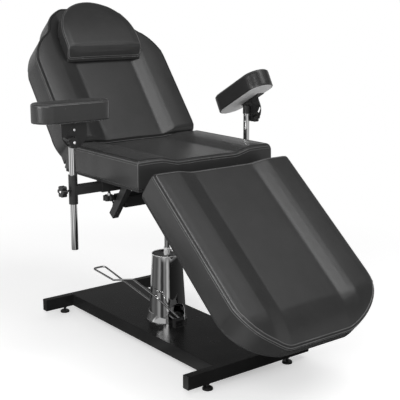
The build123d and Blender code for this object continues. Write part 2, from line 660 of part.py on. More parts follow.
def leg_outline(inset):
    """The leg rest's plan: straight sides, a curve inwards, and a flat foot end."""
    length = LEG_PAD_LENGTH - inset
    half = PAD_HALF_WIDTH + PAD_SIDE_BULGE * 2 - inset
    points = [(length * along, half * wide) for along, wide in LEG_END_SHARES]
    straight, bend, corner, turn, end = points
    return face_of((inset - PAD_SIDE_BULGE, -half, 0), [
        ((straight[0], -half, 0),),
        ((bend[0], -bend[1], 0), (corner[0], -corner[1], 0)),
        ((turn[0], -turn[1], 0), (end[0], -end[1], 0)),
        ((end[0], end[1], 0),),
        ((turn[0], turn[1], 0), (corner[0], corner[1], 0)),
        ((bend[0], bend[1], 0), (straight[0], half, 0)),
        ((inset - PAD_SIDE_BULGE, half, 0),),
    ])


def leg_side(across, drop):
    """The leg pad's side profile at one place across it, lowered by a drop."""
    edge = PAD_EDGE_RADIUS
    bevel = edge * (1 - cos(radians(45)))
    length = LEG_PAD_LENGTH
    deep = LEG_PAD_THICKNESS
    level, middle, end = [(length * along, -deep * fall) for along, fall in LEG_FALL_SHARES]
    return Pos(0, across, -drop) * face_of((0, 0, -deep - OVERRUN), [
        ((0, 0, -deep),),
        ((-PAD_SIDE_BULGE, 0, -deep / 2), (0, 0, -edge)),
        ((bevel, 0, -bevel), (edge, 0, 0)),
        ((level[0], 0, 0),),
        ((middle[0], 0, middle[1]), (end[0], 0, end[1])),
        ((length, 0, -deep),),
        ((length, 0, -deep - OVERRUN),),
    ])


def leg_pad():
    """The leg pad: its top, bolsters and recess alike, falls away in a curve at the foot end."""
    deep = LEG_PAD_THICKNESS
    inner = PAD_SLOPE_INNER
    outer = PAD_SLOPE_OUTER
    wide = PAD_HALF_WIDTH + OVERRUN
    pad = prism(leg_side(-inner, PAD_RECESS), (0, inner * 2, 0))
    for side in (-1, 1):
        pad = pad + prism(leg_side(side * inner, PAD_RECESS), (0, side * (outer - inner), PAD_RECESS))
        pad = pad + prism(leg_side(side * outer, 0), (0, side * (wide - outer), 0))
    outline = prism(plain_section(deep), (LEG_PAD_LENGTH + OVERRUN * 2, 0, 0))
    pad = pad & (Pos(-OVERRUN, 0, 0) * outline)
    pad = pad & (Pos(0, 0, -deep - OVERRUN) * prism(leg_outline(0), (0, 0, deep + OVERRUN * 2)))
    return placed(leg_plane(), pad)


def leg_board():
    """The board under the leg pad."""
    board = Pos(0, 0, -LEG_DEPTH) * prism(leg_outline(BOARD_INSET), (0, 0, BOARD_THICKNESS))
    return placed(leg_plane(), board)


def back_outline(inset):
    """The back rest's plan: a rounded foot, straight sides, shoulders and a narrow head part."""
    length = BACK_PAD_LENGTH - inset
    half = PAD_HALF_WIDTH + PAD_SIDE_BULGE * 2 - inset
    foot, lower, side = [(length * along, half * wide) for along, wide in BACK_START_SHARES]
    points = [(length * along, half * wide) for along, wide in BACK_END_SHARES]
    upper, shoulder, waist, neck, head, cheek, crown = points
    reach = BACK_FOOT_SHARES[-1][0] * length - OVERRUN

    def right_side(sign):
        return [(along, sign * wide, 0) for along, wide in (foot, lower, side, upper)]

    near = right_side(-1)
    far = right_side(1)
    return face_of((reach, near[0][1], 0), [
        (near[0],),
        (near[1], near[2]),
        (near[3],),
        ((shoulder[0], -shoulder[1], 0), (waist[0], -waist[1], 0)),
        ((neck[0], -neck[1], 0), (head[0], -head[1], 0)),
        ((cheek[0], -cheek[1], 0), (crown[0], -crown[1], 0)),
        ((crown[0], crown[1], 0),),
        ((cheek[0], cheek[1], 0), (head[0], head[1], 0)),
        ((neck[0], neck[1], 0), (waist[0], waist[1], 0)),
        ((shoulder[0], shoulder[1], 0), (upper[0], upper[1], 0)),
        (far[2],),
        (far[1], far[0]),
        ((reach, far[0][1], 0),),
    ])


def back_pad():
    """The back pad: its foot rolls under, parallel to the seat's slanted rear."""
    edge = PAD_EDGE_RADIUS
    bevel = edge * (1 - cos(radians(45)))
    length = BACK_PAD_LENGTH
    deep = BACK_PAD_THICKNESS
    top, lip, roll, belly, heel = [(length * along, deep * fall) for along, fall in BACK_FOOT_SHARES]
    side = face_of((heel[0], 0, -deep), [
        ((heel[0], 0, heel[1]),),
        ((belly[0], 0, belly[1]), (roll[0], 0, roll[1])),
        ((lip[0], 0, lip[1]), (top[0], 0, 0)),
        ((top[0], 0, OVERRUN),),
        ((length - edge, 0, OVERRUN),),
        ((length - edge, 0, 0),),
        ((length - bevel, 0, -bevel), (length, 0, -edge)),
        ((length, 0, -deep),),
    ])
    pad = pad_body(deep, side, back_outline(0), heel[0], length)
    return placed(back_plane(), pad)


def back_board():
    """The board under the back pad."""
    outline = Pos(0, 0, -BACK_DEPTH) * prism(back_outline(BOARD_INSET), (0, 0, BOARD_THICKNESS))
    wide = PAD_HALF_WIDTH
    foot = BACK_FOOT_SHARES[-1][0] * BACK_PAD_LENGTH + BOARD_INSET
    keep = block(foot, BACK_PAD_LENGTH, -wide, wide, -BACK_DEPTH, -BACK_PAD_THICKNESS)
    return placed(back_plane(), outline & keep)


def head_pillow():
    """The D-shaped pillow: half-round top, straight lower side, lying on the back pad's slopes."""
    radius = PILLOW_RADIUS
    centre = PILLOW_TOP - radius
    plan = face_of((PILLOW_FOOT_REAR, -radius, 0), [
        ((centre, -radius, 0),),
        ((PILLOW_TOP, 0, 0), (centre, radius, 0)),
        ((PILLOW_FOOT_REAR, radius, 0),),
    ])
    low = -PILLOW_SINK
    high = low + PILLOW_THICKNESS
    edge = PAD_EDGE_RADIUS
    side = face_of((PILLOW_FOOT_REAR, 0, low), [
        ((PILLOW_FOOT_FRONT, 0, high - edge / 2),),
        ((PILLOW_FOOT_FRONT + edge, 0, high),),
        ((centre, 0, high + PAD_CROWN), (PILLOW_TOP, 0, high - edge)),
        ((PILLOW_TOP, 0, low),),
    ])
    body = Pos(0, 0, low) * prism(plan, (0, 0, PILLOW_THICKNESS + OVERRUN))
    body = body & (Pos(0, -radius, 0) * prism(side, (0, radius * 2, 0)))
    return placed(back_plane(), body)


def rest_rail_inner():
    """How far from the middle the rails of the back and leg rests begin, outside the seat frame's lugs."""
    return RAIL_SPAN / 2 + RAIL_WIDTH / 2 + LUG_THICKNESS


def rest_rails(plane, depth, start, share, length, lugs):
    """A rest's frame: two rails under the board, cross members, and whatever lugs it carries."""
    inner = rest_rail_inner()
    outer = inner + REST_RAIL_WIDTH
    bottom = -depth - REST_RAIL_HEIGHT
    frame = lugs
    for side in (-1, 1):
        low = min(side * inner, side * outer)
        rail = block(start, length * share, low, low + REST_RAIL_WIDTH, bottom, -depth)
        bore = across(SHAFT_RADIUS, start + REST_RAIL_END, -depth - HINGE_DROP_BELOW_BOARD, -outer - OVERRUN,
                      outer + OVERRUN)
        frame = frame + (rail - bore)
    for along in REST_CROSS_SHARES:
        middle = length * along
        half = REST_RAIL_WIDTH / 2
        frame = frame + block(middle - half, middle + half, -inner, inner, bottom, -depth)
    return placed(plane, frame)


def open_fork():
    """How far from the middle the two ears round an open eye begin and end."""
    inner = OPEN_EYE_WIDTH / 2 + SPRING_FORK_GAP * 2
    return inner, inner + SPRING_FORK_THICKNESS


def pin_ears(x, z, root_x, root_z):
    """Two ears under a rest with the pin of its gas spring, drawn in the rest's own frame."""
    inner, outer = open_fork()
    ears = across(SPRING_PIN_RADIUS, x, z, -outer, outer)
    for y_from, y_to in ((-outer, -inner), (inner, outer)):
        ears = ears + across(SPRING_EYE_RADIUS, x, z, y_from, y_to)
        ears = ears + block(root_x, x + SPRING_EYE_RADIUS, y_from, y_to, z, root_z)
    return ears


def leg_frame():
    """The leg rest's rails and cross members, with the ears of its gas spring."""
    z = -LEG_DEPTH - HINGE_DROP_BELOW_BOARD - LEG_PIN_DEPTH
    root = LEG_PAD_LENGTH * REST_CROSS_SHARES[0]
    ears = pin_ears(LEG_HINGE_ALONG + LEG_PIN_ALONG, z, root, -LEG_DEPTH)
    start = LEG_HINGE_ALONG - REST_RAIL_END
    return rest_rails(leg_plane(), LEG_DEPTH, start, LEG_RAIL_SHARE, LEG_PAD_LENGTH, ears)


def back_frame():
    """The back rest's rails, which reach past the pad to the hinge, and their cross members."""
    start = BACK_HINGE_ALONG - REST_RAIL_END
    inner = rest_rail_inner()
    half = REST_RAIL_WIDTH / 2
    bottom = -BACK_DEPTH - REST_RAIL_HEIGHT
    foot = block(-half * 2, 0, -inner, inner, bottom, -BACK_DEPTH)
    return rest_rails(back_plane(), BACK_DEPTH, start, BACK_RAIL_SHARE, BACK_PAD_LENGTH, foot)


def back_crank():
    """Two arms below the back hinge that hold the pin of the back's gas spring."""
    inner, outer = open_fork()
    z = -BACK_DEPTH - HINGE_DROP_BELOW_BOARD
    pin = (BACK_HINGE_ALONG + BACK_PIN_ALONG, z - BACK_PIN_DEPTH)
    crank = across(SPRING_PIN_RADIUS, pin[0], pin[1], -outer, outer)
    hub = across(CRANK_HUB_RADIUS, BACK_HINGE_ALONG, z, -outer, outer)
    crank = crank + hub
    half = SPRING_EYE_RADIUS
    for y_from, y_to in ((-outer, -inner), (inner, outer)):
        arm = face_of((BACK_HINGE_ALONG - half, y_from, z), [
            ((BACK_HINGE_ALONG + half, y_from, z),),
            ((pin[0] + half, y_from, pin[1]),),
            ((pin[0], y_from, pin[1] - half), (pin[0] - half, y_from, pin[1])),
        ])
        crank = crank + prism(arm, (0, y_to - y_from, 0))
    bore = across(SHAFT_RADIUS, BACK_HINGE_ALONG, z, -outer - OVERRUN, outer + OVERRUN)
    bottom = -BACK_DEPTH - REST_RAIL_HEIGHT
    web = block(BACK_HINGE_ALONG, -REST_RAIL_WIDTH, -outer, outer, bottom, -BACK_DEPTH)
    return placed(back_plane(), (crank + web) - bore)


def hinge_shaft(hinge):
    """The shaft of one rest's hinge, through both rails of the rest."""
    half = rest_rail_inner() + REST_RAIL_WIDTH + SHAFT_END
    return across(SHAFT_RADIUS, hinge.X, hinge.Z, -half, half)


def spring_ends(end):
    """The two pins that one gas spring joins at rest: on the saddle and on its rest."""
    seat_pin = Vector(end * SPRING_SEAT_X, 0, SPRING_SEAT_Z)
    if end > 0:
        depth = -LEG_DEPTH - HINGE_DROP_BELOW_BOARD - LEG_PIN_DEPTH
        rest_pin = leg_plane().from_local_coords(Vector(LEG_HINGE_ALONG + LEG_PIN_ALONG, 0, depth))
    else:
        depth = -BACK_DEPTH - HINGE_DROP_BELOW_BOARD - BACK_PIN_DEPTH
        rest_pin = back_plane().from_local_coords(Vector(BACK_HINGE_ALONG + BACK_PIN_ALONG, 0, depth))
    return seat_pin, rest_pin


def spring_plane(end):
    """The gas spring's own frame: origin at the saddle's pin, +Z towards the other pin."""
    seat_pin, rest_pin = spring_ends(end)
    return Plane(origin=seat_pin, x_dir=(0, 1, 0), z_dir=rest_pin - seat_pin)


def spring_eye(radius, hole, width, z):
    """A round eye across one end of a gas spring, drawn along its own frame's X."""
    half = width / 2
    eye = rod(radius, (-half, 0, z), (half, 0, z))
    return eye - rod(hole, (-half - OVERRUN, 0, z), (half + OVERRUN, 0, z))


def spring_cylinder(end):
    """The cylinder of one gas spring, bored for its rod."""
    seat_pin, rest_pin = spring_ends(end)
    length = (rest_pin - seat_pin).length
    stroke_in = LEG_SPRING_STROKE_IN if end > 0 else BACK_SPRING_STROKE_IN
    start = SPRING_EYE_RADIUS - SPRING_CYLINDER_WALL
    stop = length - OPEN_EYE_RADIUS - stroke_in - SPRING_CAP
    barrel = rod(SPRING_CYLINDER_RADIUS, (0, 0, start), (0, 0, stop))
    floor = start + SPRING_CAP
    inside = rod(SPRING_CYLINDER_RADIUS - SPRING_CYLINDER_WALL, (0, 0, floor), (0, 0, stop - SPRING_CAP))
    gland = rod(SPRING_ROD_RADIUS + RUNNING_GAP, (0, 0, floor), (0, 0, stop + OVERRUN))
    clear = rod(SPRING_PIN_RADIUS + RUNNING_GAP, (-SPRING_EYE_WIDTH, 0, 0), (SPRING_EYE_WIDTH, 0, 0))
    barrel = barrel + spring_eye(SPRING_EYE_RADIUS, SPRING_PIN_RADIUS + RUNNING_GAP, SPRING_EYE_WIDTH, 0)
    side = SPRING_EYE_WIDTH / 2
    tall = SPRING_EYE_RADIUS + SPRING_FORK_GAP * 2
    wide = SPRING_CYLINDER_RADIUS + OVERRUN
    for low, high in ((-wide, -side), (side, wide)):
        barrel = barrel - block(low, high, -wide, wide, 0, tall)
    return placed(spring_plane(end), barrel - inside - gland - clear)


def spring_rod(end):
    """The rod of one gas spring; its eye has room round the pin, as this pivot is left open."""
    seat_pin, rest_pin = spring_ends(end)
    length = (rest_pin - seat_pin).length
    dead_length = LEG_SPRING_DEAD_LENGTH if end > 0 else BACK_SPRING_DEAD_LENGTH
    bar = rod(SPRING_ROD_RADIUS, (0, 0, dead_length), (0, 0, length))
    bar = bar + spring_eye(OPEN_EYE_RADIUS, OPEN_EYE_HOLE, OPEN_EYE_WIDTH, length)
    half = OPEN_EYE_WIDTH
    return placed(spring_plane(end), bar - rod(OPEN_EYE_HOLE, (-half, 0, length), (half, 0, length)))


def arm_slide(side):
    """A square slide tube with the round sleeve welded across its outer end."""
    outer = POST_Y
    tube = box_tube(SLIDE_SIZE, outer - SLIDE_INNER_END, SLIDE_SIZE, TUBE_WALL, 1)
    slide = Pos(ARM_X, side * (outer + SLIDE_INNER_END) / 2, SLIDE_Z) * tube
    y = side * POST_Y
    low = SLIDE_Z - SLEEVE_BELOW
    high = SLIDE_Z + SLEEVE_ABOVE
    slide = slide + rod(SLEEVE_RADIUS, (ARM_X, y, low), (ARM_X, y, high))
    slide = slide - rod(POST_RADIUS + RUNNING_GAP, (ARM_X, y, low - OVERRUN), (ARM_X, y, high + OVERRUN))
    far = side * (POST_Y + SLEEVE_RADIUS + OVERRUN)
    return slide - rod(KNOB_STUD_RADIUS + RUNNING_GAP, (ARM_X, y, SLIDE_Z), (ARM_X, far, SLIDE_Z))


def sleeve_knob(side):
    """The star knob that clamps the post in its sleeve."""
    middle = side * (POST_Y + SLEEVE_KNOB_REACH)
    tip = side * (POST_Y + POST_RADIUS + SEAT_GAP)
    knob = Pos(ARM_X, middle, SLIDE_Z) * Rot(90, 0, 0) * star_knob()
    return knob + rod(KNOB_STUD_RADIUS, (ARM_X, tip, SLIDE_Z), (ARM_X, middle, SLIDE_Z))


def under_knob(side):
    """The star knob that clamps the slide tube, below the cross tube."""
    y = side * UNDER_KNOB_Y
    middle = RAIL_TOP - UNDER_KNOB_DROP
    tip = SLIDE_Z - SLIDE_SIZE / 2 - SEAT_GAP
    return Pos(ARM_X, y, middle) * star_knob() + rod(KNOB_STUD_RADIUS, (ARM_X, y, middle), (ARM_X, y, tip))


def post_bottom(side):
    """The height of one post's lower end in the photographed pose."""
    return RIGHT_POST_BOTTOM + (LEFT_POST_RAISE if side > 0 else 0)


def arm_post(side):
    """A chrome post tube."""
    bottom = post_bottom(side)
    y = side * POST_Y
    top = bottom + POST_LENGTH
    post = rod(POST_RADIUS, (ARM_X, y, bottom), (ARM_X, y, top))
    return post - rod(POST_RADIUS - POST_WALL, (ARM_X, y, bottom - OVERRUN), (ARM_X, y, top + OVERRUN))


def arm_location(side, tilted):
    """The armrest's own frame at its tilt pivot: +X along the pad, +Y towards the tilt plate."""
    yaw = LEFT_ARM_YAW if side > 0 else RIGHT_ARM_YAW
    tilt = LEFT_ARM_TILT if side > 0 and tilted else 0
    height = post_bottom(side) + POST_LENGTH + PIVOT_ABOVE_POST
    return Pos(ARM_X, side * POST_Y, height) * Rot(0, 0, yaw) * Rot(0, -tilt, 0)


def tilt_tongue(side):
    """The cap that turns on the post, with its tongue and the pivot screw."""
    top = -PIVOT_ABOVE_POST
    outer = POST_RADIUS + TONGUE_CAP_WALL
    low = top - TONGUE_CAP_HEIGHT
    cap = rod(outer, (0, 0, low), (0, 0, top + TONGUE_CAP_WALL))
    near = outer
    far = near + TONGUE_THICKNESS
    bottom = -LOCK_RADIUS - TONGUE_TOP_RADIUS * 2
    half = TONGUE_HALF_WIDTH
    radius = TONGUE_TOP_RADIUS
    plate = face_of((-half, near, bottom), [
        ((half, near, bottom),),
        ((half, near, top),),
        ((radius, near, 0),),
        ((0, near, radius), (-radius, near, 0)),
        ((-half, near, top),),
    ])
    plate = prism(plate, (0, TONGUE_THICKNESS, 0))
    weld = block(-radius, radius, 0, near + TONGUE_THICKNESS / 2, low, top + TONGUE_CAP_WALL)
    body = cap + plate + weld
    body = body - rod(POST_RADIUS + RUNNING_GAP, (0, 0, bottom - OVERRUN), (0, 0, top))
    outside = far + PLATE_GAP + PLATE_THICKNESS + PLATE_GAP
    screw = rod(PIVOT_RADIUS, (0, near, 0), (0, outside, 0))
    head = rod(PIVOT_HEAD, (0, outside, 0), (0, outside + PIVOT_HEAD_THICKNESS, 0))
    lock_x = LOCK_RADIUS * sin(radians(LOCK_ANGLE))
    lock_z = -LOCK_RADIUS * cos(radians(LOCK_ANGLE))
    start = (lock_x, near - OVERRUN, lock_z)
    body = body - rod(KNOB_STUD_RADIUS + RUNNING_GAP, start, (lock_x, far + OVERRUN, lock_z))
    return arm_location(side, False) * (body + screw + head)


def tilt_knob(side):
    """The star knob whose stud passes through the plate's curved slot into the tongue."""
    near = POST_RADIUS + TONGUE_CAP_WALL
    middle = near + TONGUE_THICKNESS + PLATE_THICKNESS + LOCK_KNOB_REACH
    x = LOCK_RADIUS * sin(radians(LOCK_ANGLE))
    z = -LOCK_RADIUS * cos(radians(LOCK_ANGLE))
    knob = Pos(x, middle, z) * Rot(90, 0, 0) * star_knob()
    knob = knob + rod(KNOB_STUD_RADIUS, (x, near, z), (x, middle, z))
    return arm_location(side, False) * knob


def tilt_plate(side):
    """The rounded plate under the armrest, with its pivot hole, curved slot and top flange."""
    inner = POST_RADIUS + TONGUE_CAP_WALL + TONGUE_THICKNESS + PLATE_GAP
    half = PLATE_HALF_WIDTH
    top = PIVOT_BELOW_PAD
    turn = top - PLATE_DEPTH + half
    plate = face_of((-half, inner, top), [
        ((-half, inner, turn),),
        ((0, inner, top - PLATE_DEPTH), (half, inner, turn)),
        ((half, inner, top),),
    ])
    plate = prism(plate, (0, PLATE_THICKNESS, 0))
    slot_radius = KNOB_STUD_RADIUS + SEAT_GAP
    low = LOCK_ANGLE - TILT_LIMIT
    high = LOCK_ANGLE + TILT_LIMIT

    def on_slot(radius, degrees):
        angle = radians(degrees)
        return (radius * sin(angle), inner - OVERRUN, -radius * cos(angle))

    slot = face_of(on_slot(LOCK_RADIUS - slot_radius, low), [
        (on_slot(LOCK_RADIUS - slot_radius, LOCK_ANGLE), on_slot(LOCK_RADIUS - slot_radius, high)),
        (on_slot(LOCK_RADIUS + slot_radius, high),),
        (on_slot(LOCK_RADIUS + slot_radius, LOCK_ANGLE), on_slot(LOCK_RADIUS + slot_radius, low)),
    ])
    plate = plate - prism(slot, (0, PLATE_THICKNESS + OVERRUN * 2, 0))
    for degrees in (low, high):
        start = on_slot(LOCK_RADIUS, degrees)
        plate = plate - rod(slot_radius, start, (start[0], inner + PLATE_THICKNESS + OVERRUN, start[2]))
    hole = rod(PIVOT_RADIUS + RUNNING_GAP, (0, inner - OVERRUN, 0), (0, inner + PLATE_THICKNESS + OVERRUN, 0))
    half = FLANGE_HALF_LENGTH
    flange = block(-half, half, inner, inner + FLANGE_WIDTH, top - PLATE_THICKNESS, top)
    return arm_location(side, True) * (plate - hole + flange)


def stadium(length, width, height):
    """A round-ended slab standing on its own base plane."""
    return extrude(SlotOverall(length, width), height)


def armrest_board(side):
    """The pale board under one armrest pad."""
    inset = ARM_BOARD_INSET * 2
    board = stadium(ARM_PAD_LENGTH - inset, ARM_PAD_WIDTH - inset, ARM_BOARD_THICKNESS)
    return arm_location(side, True) * Pos(0, 0, PIVOT_BELOW_PAD) * board


def armrest_pad(side):
    """One armrest pad: round ends, soft top edge, and a rim that hides the board's edge."""
    pad = stadium(ARM_PAD_LENGTH, ARM_PAD_WIDTH, ARM_BOARD_THICKNESS + ARM_PAD_THICKNESS)
    pad = fillet(pad.edges().group_by(Axis.Z)[-1], PAD_EDGE_RADIUS)
    inset = ARM_BOARD_INSET * 2
    pocket = stadium(ARM_PAD_LENGTH - inset, ARM_PAD_WIDTH - inset, ARM_BOARD_THICKNESS + OVERRUN)
    return arm_location(side, True) * Pos(0, 0, PIVOT_BELOW_PAD) * (pad - Pos(0, 0, -OVERRUN) * pocket)


def write(name, shape):
    """Moves a finished piece into the part's frame and writes it."""
    export_step(Pos(-PUMP_TO_ORIGIN, MIDDLE_TO_ORIGIN, 0) * shape, "parts/" + name + ".step")


def main():
    """Writes every piece of the chair."""
    os.makedirs("parts", exist_ok=True)
    write("base_cover", base_cover())
    for name, end in (("front", 1), ("rear", -1)):
        write("crossbar_" + name, crossbar(end))
        write("crossbar_caps_" + name, crossbar_caps(end))
        write("foot_" + name + "_left", levelling_foot(end, 1))
        write("foot_" + name + "_right", levelling_foot(end, -1))
    write("pump_flange", pump_flange())
    write("pump_body", pump_body())
    write("pump_cover", pump_cover())
    write("pump_collar", pump_collar())
    write("lever_bracket", lever_bracket())
    write("lever_rocker", lever_rocker())
    write("foot_lever", foot_lever())
    write("pump_ram", pump_ram())
    write("ram_plate", ram_plate())
    write("saddle_frame", saddle_frame())
    write("seat_frame", seat_frame())
    write("armrest_cross_tube", armrest_cross_tube())
    write("seat_board", seat_board())
    write("seat_pad", seat_pad())
    write("back_frame", back_frame())
    write("back_crank", back_crank())
    write("back_shaft", hinge_shaft(BACK_HINGE))
    write("back_board", back_board())
    write("back_pad", back_pad())
    write("head_pillow", head_pillow())
    write("leg_frame", leg_frame())
    write("leg_shaft", hinge_shaft(LEG_HINGE))
    write("leg_board", leg_board())
    write("leg_pad", leg_pad())
    write("back_spring_cylinder", spring_cylinder(-1))
    write("back_spring_rod", spring_rod(-1))
    write("leg_spring_cylinder", spring_cylinder(1))
    write("leg_spring_rod", spring_rod(1))
    for name, side in (("left", 1), ("right", -1)):
        write("tie_rod_" + name, tie_rod(side))
        write("arm_slide_" + name, arm_slide(side))
        write("sleeve_knob_" + name, sleeve_knob(side))
        write("under_knob_" + name, under_knob(side))
        write("arm_post_" + name, arm_post(side))
        write("tilt_tongue_" + name, tilt_tongue(side))
        write("tilt_knob_" + name, tilt_knob(side))
        write("tilt_plate_" + name, tilt_plate(side))
        write("armrest_board_" + name, armrest_board(side))
        write("armrest_pad_" + name, armrest_pad(side))


main()
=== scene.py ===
import bpy
import json
from math import cos, pi, radians, sin
from mathutils import Matrix, Vector
from mathutils.bvhtree import BVHTree
from mathutils.kdtree import KDTree
import numpy as np


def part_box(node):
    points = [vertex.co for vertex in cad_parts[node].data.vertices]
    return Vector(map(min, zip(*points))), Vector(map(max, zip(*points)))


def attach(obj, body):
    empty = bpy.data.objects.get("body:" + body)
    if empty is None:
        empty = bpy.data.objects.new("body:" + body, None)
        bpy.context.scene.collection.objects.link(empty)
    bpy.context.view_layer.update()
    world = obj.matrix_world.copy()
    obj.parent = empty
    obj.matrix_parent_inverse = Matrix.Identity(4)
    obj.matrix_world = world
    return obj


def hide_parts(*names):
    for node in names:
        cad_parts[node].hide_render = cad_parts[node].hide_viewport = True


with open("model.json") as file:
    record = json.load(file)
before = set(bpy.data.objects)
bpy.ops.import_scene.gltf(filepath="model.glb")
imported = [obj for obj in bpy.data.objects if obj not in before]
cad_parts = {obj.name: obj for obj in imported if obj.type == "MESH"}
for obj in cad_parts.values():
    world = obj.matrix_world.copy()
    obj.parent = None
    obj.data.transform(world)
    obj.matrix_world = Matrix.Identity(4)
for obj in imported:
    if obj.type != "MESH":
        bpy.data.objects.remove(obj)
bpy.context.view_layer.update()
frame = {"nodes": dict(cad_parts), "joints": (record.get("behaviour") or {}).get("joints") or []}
NODES = frame["nodes"]
JOINTS = {joint["name"]: joint for joint in frame["joints"]}
MM = 0.001

# Rest angles of the photographed pose.
BACK_ANGLE = radians(52.0)
LEG_ANGLE = radians(39.7)
LEFT_ARM_TILT = radians(28.5)


# Materials: one procedural surface with different numbers for each finish.

CLOUD_DETAIL = 5.0
CLOUD_ROUGHNESS = 0.6
CLOUD_STOPS = (0.32, 0.68)
GRAIN_DETAIL = 3.0
RELIEF_DEPTH = 0.6 * MM
SHEEN_ROUGHNESS = 0.45
# Pointiness where rubbed edges begin and where they are fully worn, and how much paler wear makes them.
WORN_STOPS = (0.52, 0.60)
WORN_GAIN = 3.0
WORN_LIFT = 0.05


def add(tree, kind, **inputs):
    """A new node of a tree, with some of its inputs set."""
    node = tree.nodes.new(kind)
    for name, value in inputs.items():
        node.inputs[name.replace("_", " ")].default_value = value
    return node


def maths(tree, operation):
    """A Math node of a tree."""
    node = tree.nodes.new("ShaderNodeMath")
    node.operation = operation
    return node


def wire(tree, source, output, target, place):
    """Links one node's output to another node's input, each given by name or number."""
    tree.links.new(source.outputs[output], target.inputs[place])


def ramp(tree, stops):
    """A colour ramp through a list of (position, grey)."""
    node = tree.nodes.new("ShaderNodeValToRGB")
    elements = node.color_ramp.elements
    while len(elements) < len(stops):
        elements.new(0.5)
    for element, (position, value) in zip(elements, stops):
        element.position = position
        element.color = (value, value, value, 1.0)
    return node


def new_material(name):
    """A node material, its tree and its Principled shader."""
    material = bpy.data.materials.new(name)
    material.use_nodes = True
    return material, material.node_tree, material.node_tree.nodes["Principled BSDF"]


def surface(name, low, high, roughness, spread, bump, cloud_scale, grain_scale, metallic=0.0, wear=0.0,
            specular=0.5, pebbled=False, sheen=0.0):
    """A procedural surface: clouded grey, uneven roughness, a fine relief and rubbed edges."""
    material, tree, shader = new_material(name)
    shader.inputs["Metallic"].default_value = metallic
    shader.inputs["Specular IOR Level"].default_value = specular
    shader.inputs["Sheen Weight"].default_value = sheen
    shader.inputs["Sheen Roughness"].default_value = SHEEN_ROUGHNESS
    spot = add(tree, "ShaderNodeTexCoord")
    cloud = add(tree, "ShaderNodeTexNoise", Scale=cloud_scale, Detail=CLOUD_DETAIL,
                Roughness=CLOUD_ROUGHNESS)
    wire(tree, spot, "Object", cloud, "Vector")
    colour = ramp(tree, list(zip(CLOUD_STOPS, (low, high))))
    wire(tree, cloud, "Fac", colour, "Fac")
    if wear:
        pale = min(1.0, high * WORN_GAIN + WORN_LIFT)
        geometry = add(tree, "ShaderNodeNewGeometry")
        edge = ramp(tree, list(zip(WORN_STOPS, (0.0, 1.0))))
        wire(tree, geometry, "Pointiness", edge, "Fac")
        strength = maths(tree, "MULTIPLY")
        strength.inputs[1].default_value = wear
        wire(tree, edge, "Color", strength, 0)
        plain = colour
        colour = add(tree, "ShaderNodeMixRGB", Color2=(pale, pale, pale, 1.0))
        wire(tree, strength, "Value", colour, "Fac")
        wire(tree, plain, "Color", colour, "Color1")
    wire(tree, colour, "Color", shader, "Base Color")
    rough = add(tree, "ShaderNodeMapRange", To_Min=roughness - spread, To_Max=roughness + spread)
    wire(tree, cloud, "Fac", rough, "Value")
    wire(tree, rough, "Result", shader, "Roughness")
    relief = add(tree, "ShaderNodeBump", Strength=bump, Distance=RELIEF_DEPTH)
    if pebbled:
        grain = add(tree, "ShaderNodeTexVoronoi", Scale=grain_scale)
        grain.feature = "DISTANCE_TO_EDGE"
        wire(tree, grain, "Distance", relief, "Height")
    else:
        grain = add(tree, "ShaderNodeTexNoise", Scale=grain_scale, Detail=GRAIN_DETAIL)
        wire(tree, grain, "Fac", relief, "Height")
    wire(tree, spot, "Object", grain, "Vector")
    wire(tree, relief, "Normal", shader, "Normal")
    return material


# Each finish: darkest and lightest grey, roughness and its spread, strength of the relief, scale of the
# clouds and of the grain, and what else it has.
FINISHES = {
    "leather": (0.031, 0.037, 0.26, 0.03, 0.28, 9.0, 700.0, {"wear": 0.06, "pebbled": True, "sheen": 0.05}),
    # Piping is a paler copy of the leather: its lightness is a painted highlight along the cords.
    "painted_highlight_piping": (0.110, 0.140, 0.27, 0.04, 0.15, 9.0, 700.0, {"pebbled": True}),
    # Seam is far darker than the leather: the painted shade of a seam's groove.
    "seam": (0.005, 0.009, 0.60, 0.05, 0.3, 9.0, 700.0, {}),
    "black_paint": (0.018, 0.025, 0.36, 0.05, 0.16, 14.0, 900.0, {"wear": 0.10}),
    "base_paint": (0.010, 0.015, 0.26, 0.04, 0.08, 10.0, 900.0, {"wear": 0.08, "specular": 0.18}),
    "black_plastic": (0.016, 0.026, 0.32, 0.05, 0.2, 30.0, 1500.0, {}),
    "chrome": (0.76, 0.84, 0.035, 0.01, 0.005, 6.0, 300.0, {"metallic": 1.0}),
    # Near-white, nearly plain metal: a painted highlight on chrome beads, edges, screw heads and collars.
    "bright_edge": (0.93, 0.98, 0.40, 0.04, 0.01, 6.0, 300.0, {"metallic": 0.15}),
    "steel": (0.50, 0.62, 0.28, 0.06, 0.10, 40.0, 900.0, {"metallic": 1.0}),
    "pale_board": (0.80, 0.88, 0.75, 0.08, 0.5, 25.0, 500.0, {}),
    "dark_board": (0.020, 0.030, 0.8, 0.08, 0.6, 25.0, 600.0, {}),
}
MATERIALS = {name: surface(name, *numbers, **extras) for name, (*numbers, extras) in FINISHES.items()}


# Objects, and the frames of the cushions.

def link(obj):
    """Puts an object in the scene."""
    bpy.context.scene.collection.objects.link(obj)
    return obj


def mesh_object(name, points, faces, material, smooth=True):
    """A mesh piece from points and faces."""
    mesh = bpy.data.meshes.new(name)
    mesh.from_pydata([tuple(point) for point in points], [], faces)
    mesh.materials.append(MATERIALS[material])
    mesh.polygons.foreach_set("use_smooth", [smooth] * len(mesh.polygons))
    mesh.update()
    return link(bpy.data.objects.new(name, mesh))


def baked(obj):
    """The object with its modifiers applied to its mesh."""
    graph = bpy.context.evaluated_depsgraph_get()
    mesh = bpy.data.meshes.new_from_object(obj.evaluated_get(graph), depsgraph=graph)
    obj.modifiers.clear()
    obj.data = mesh
    return obj


def eased(obj, factor, passes):
    """The object with its mesh smoothed a little."""
    ease = obj.modifiers.new("ease", "SMOOTH")
    ease.factor = factor
    ease.iterations = passes
    return baked(obj)


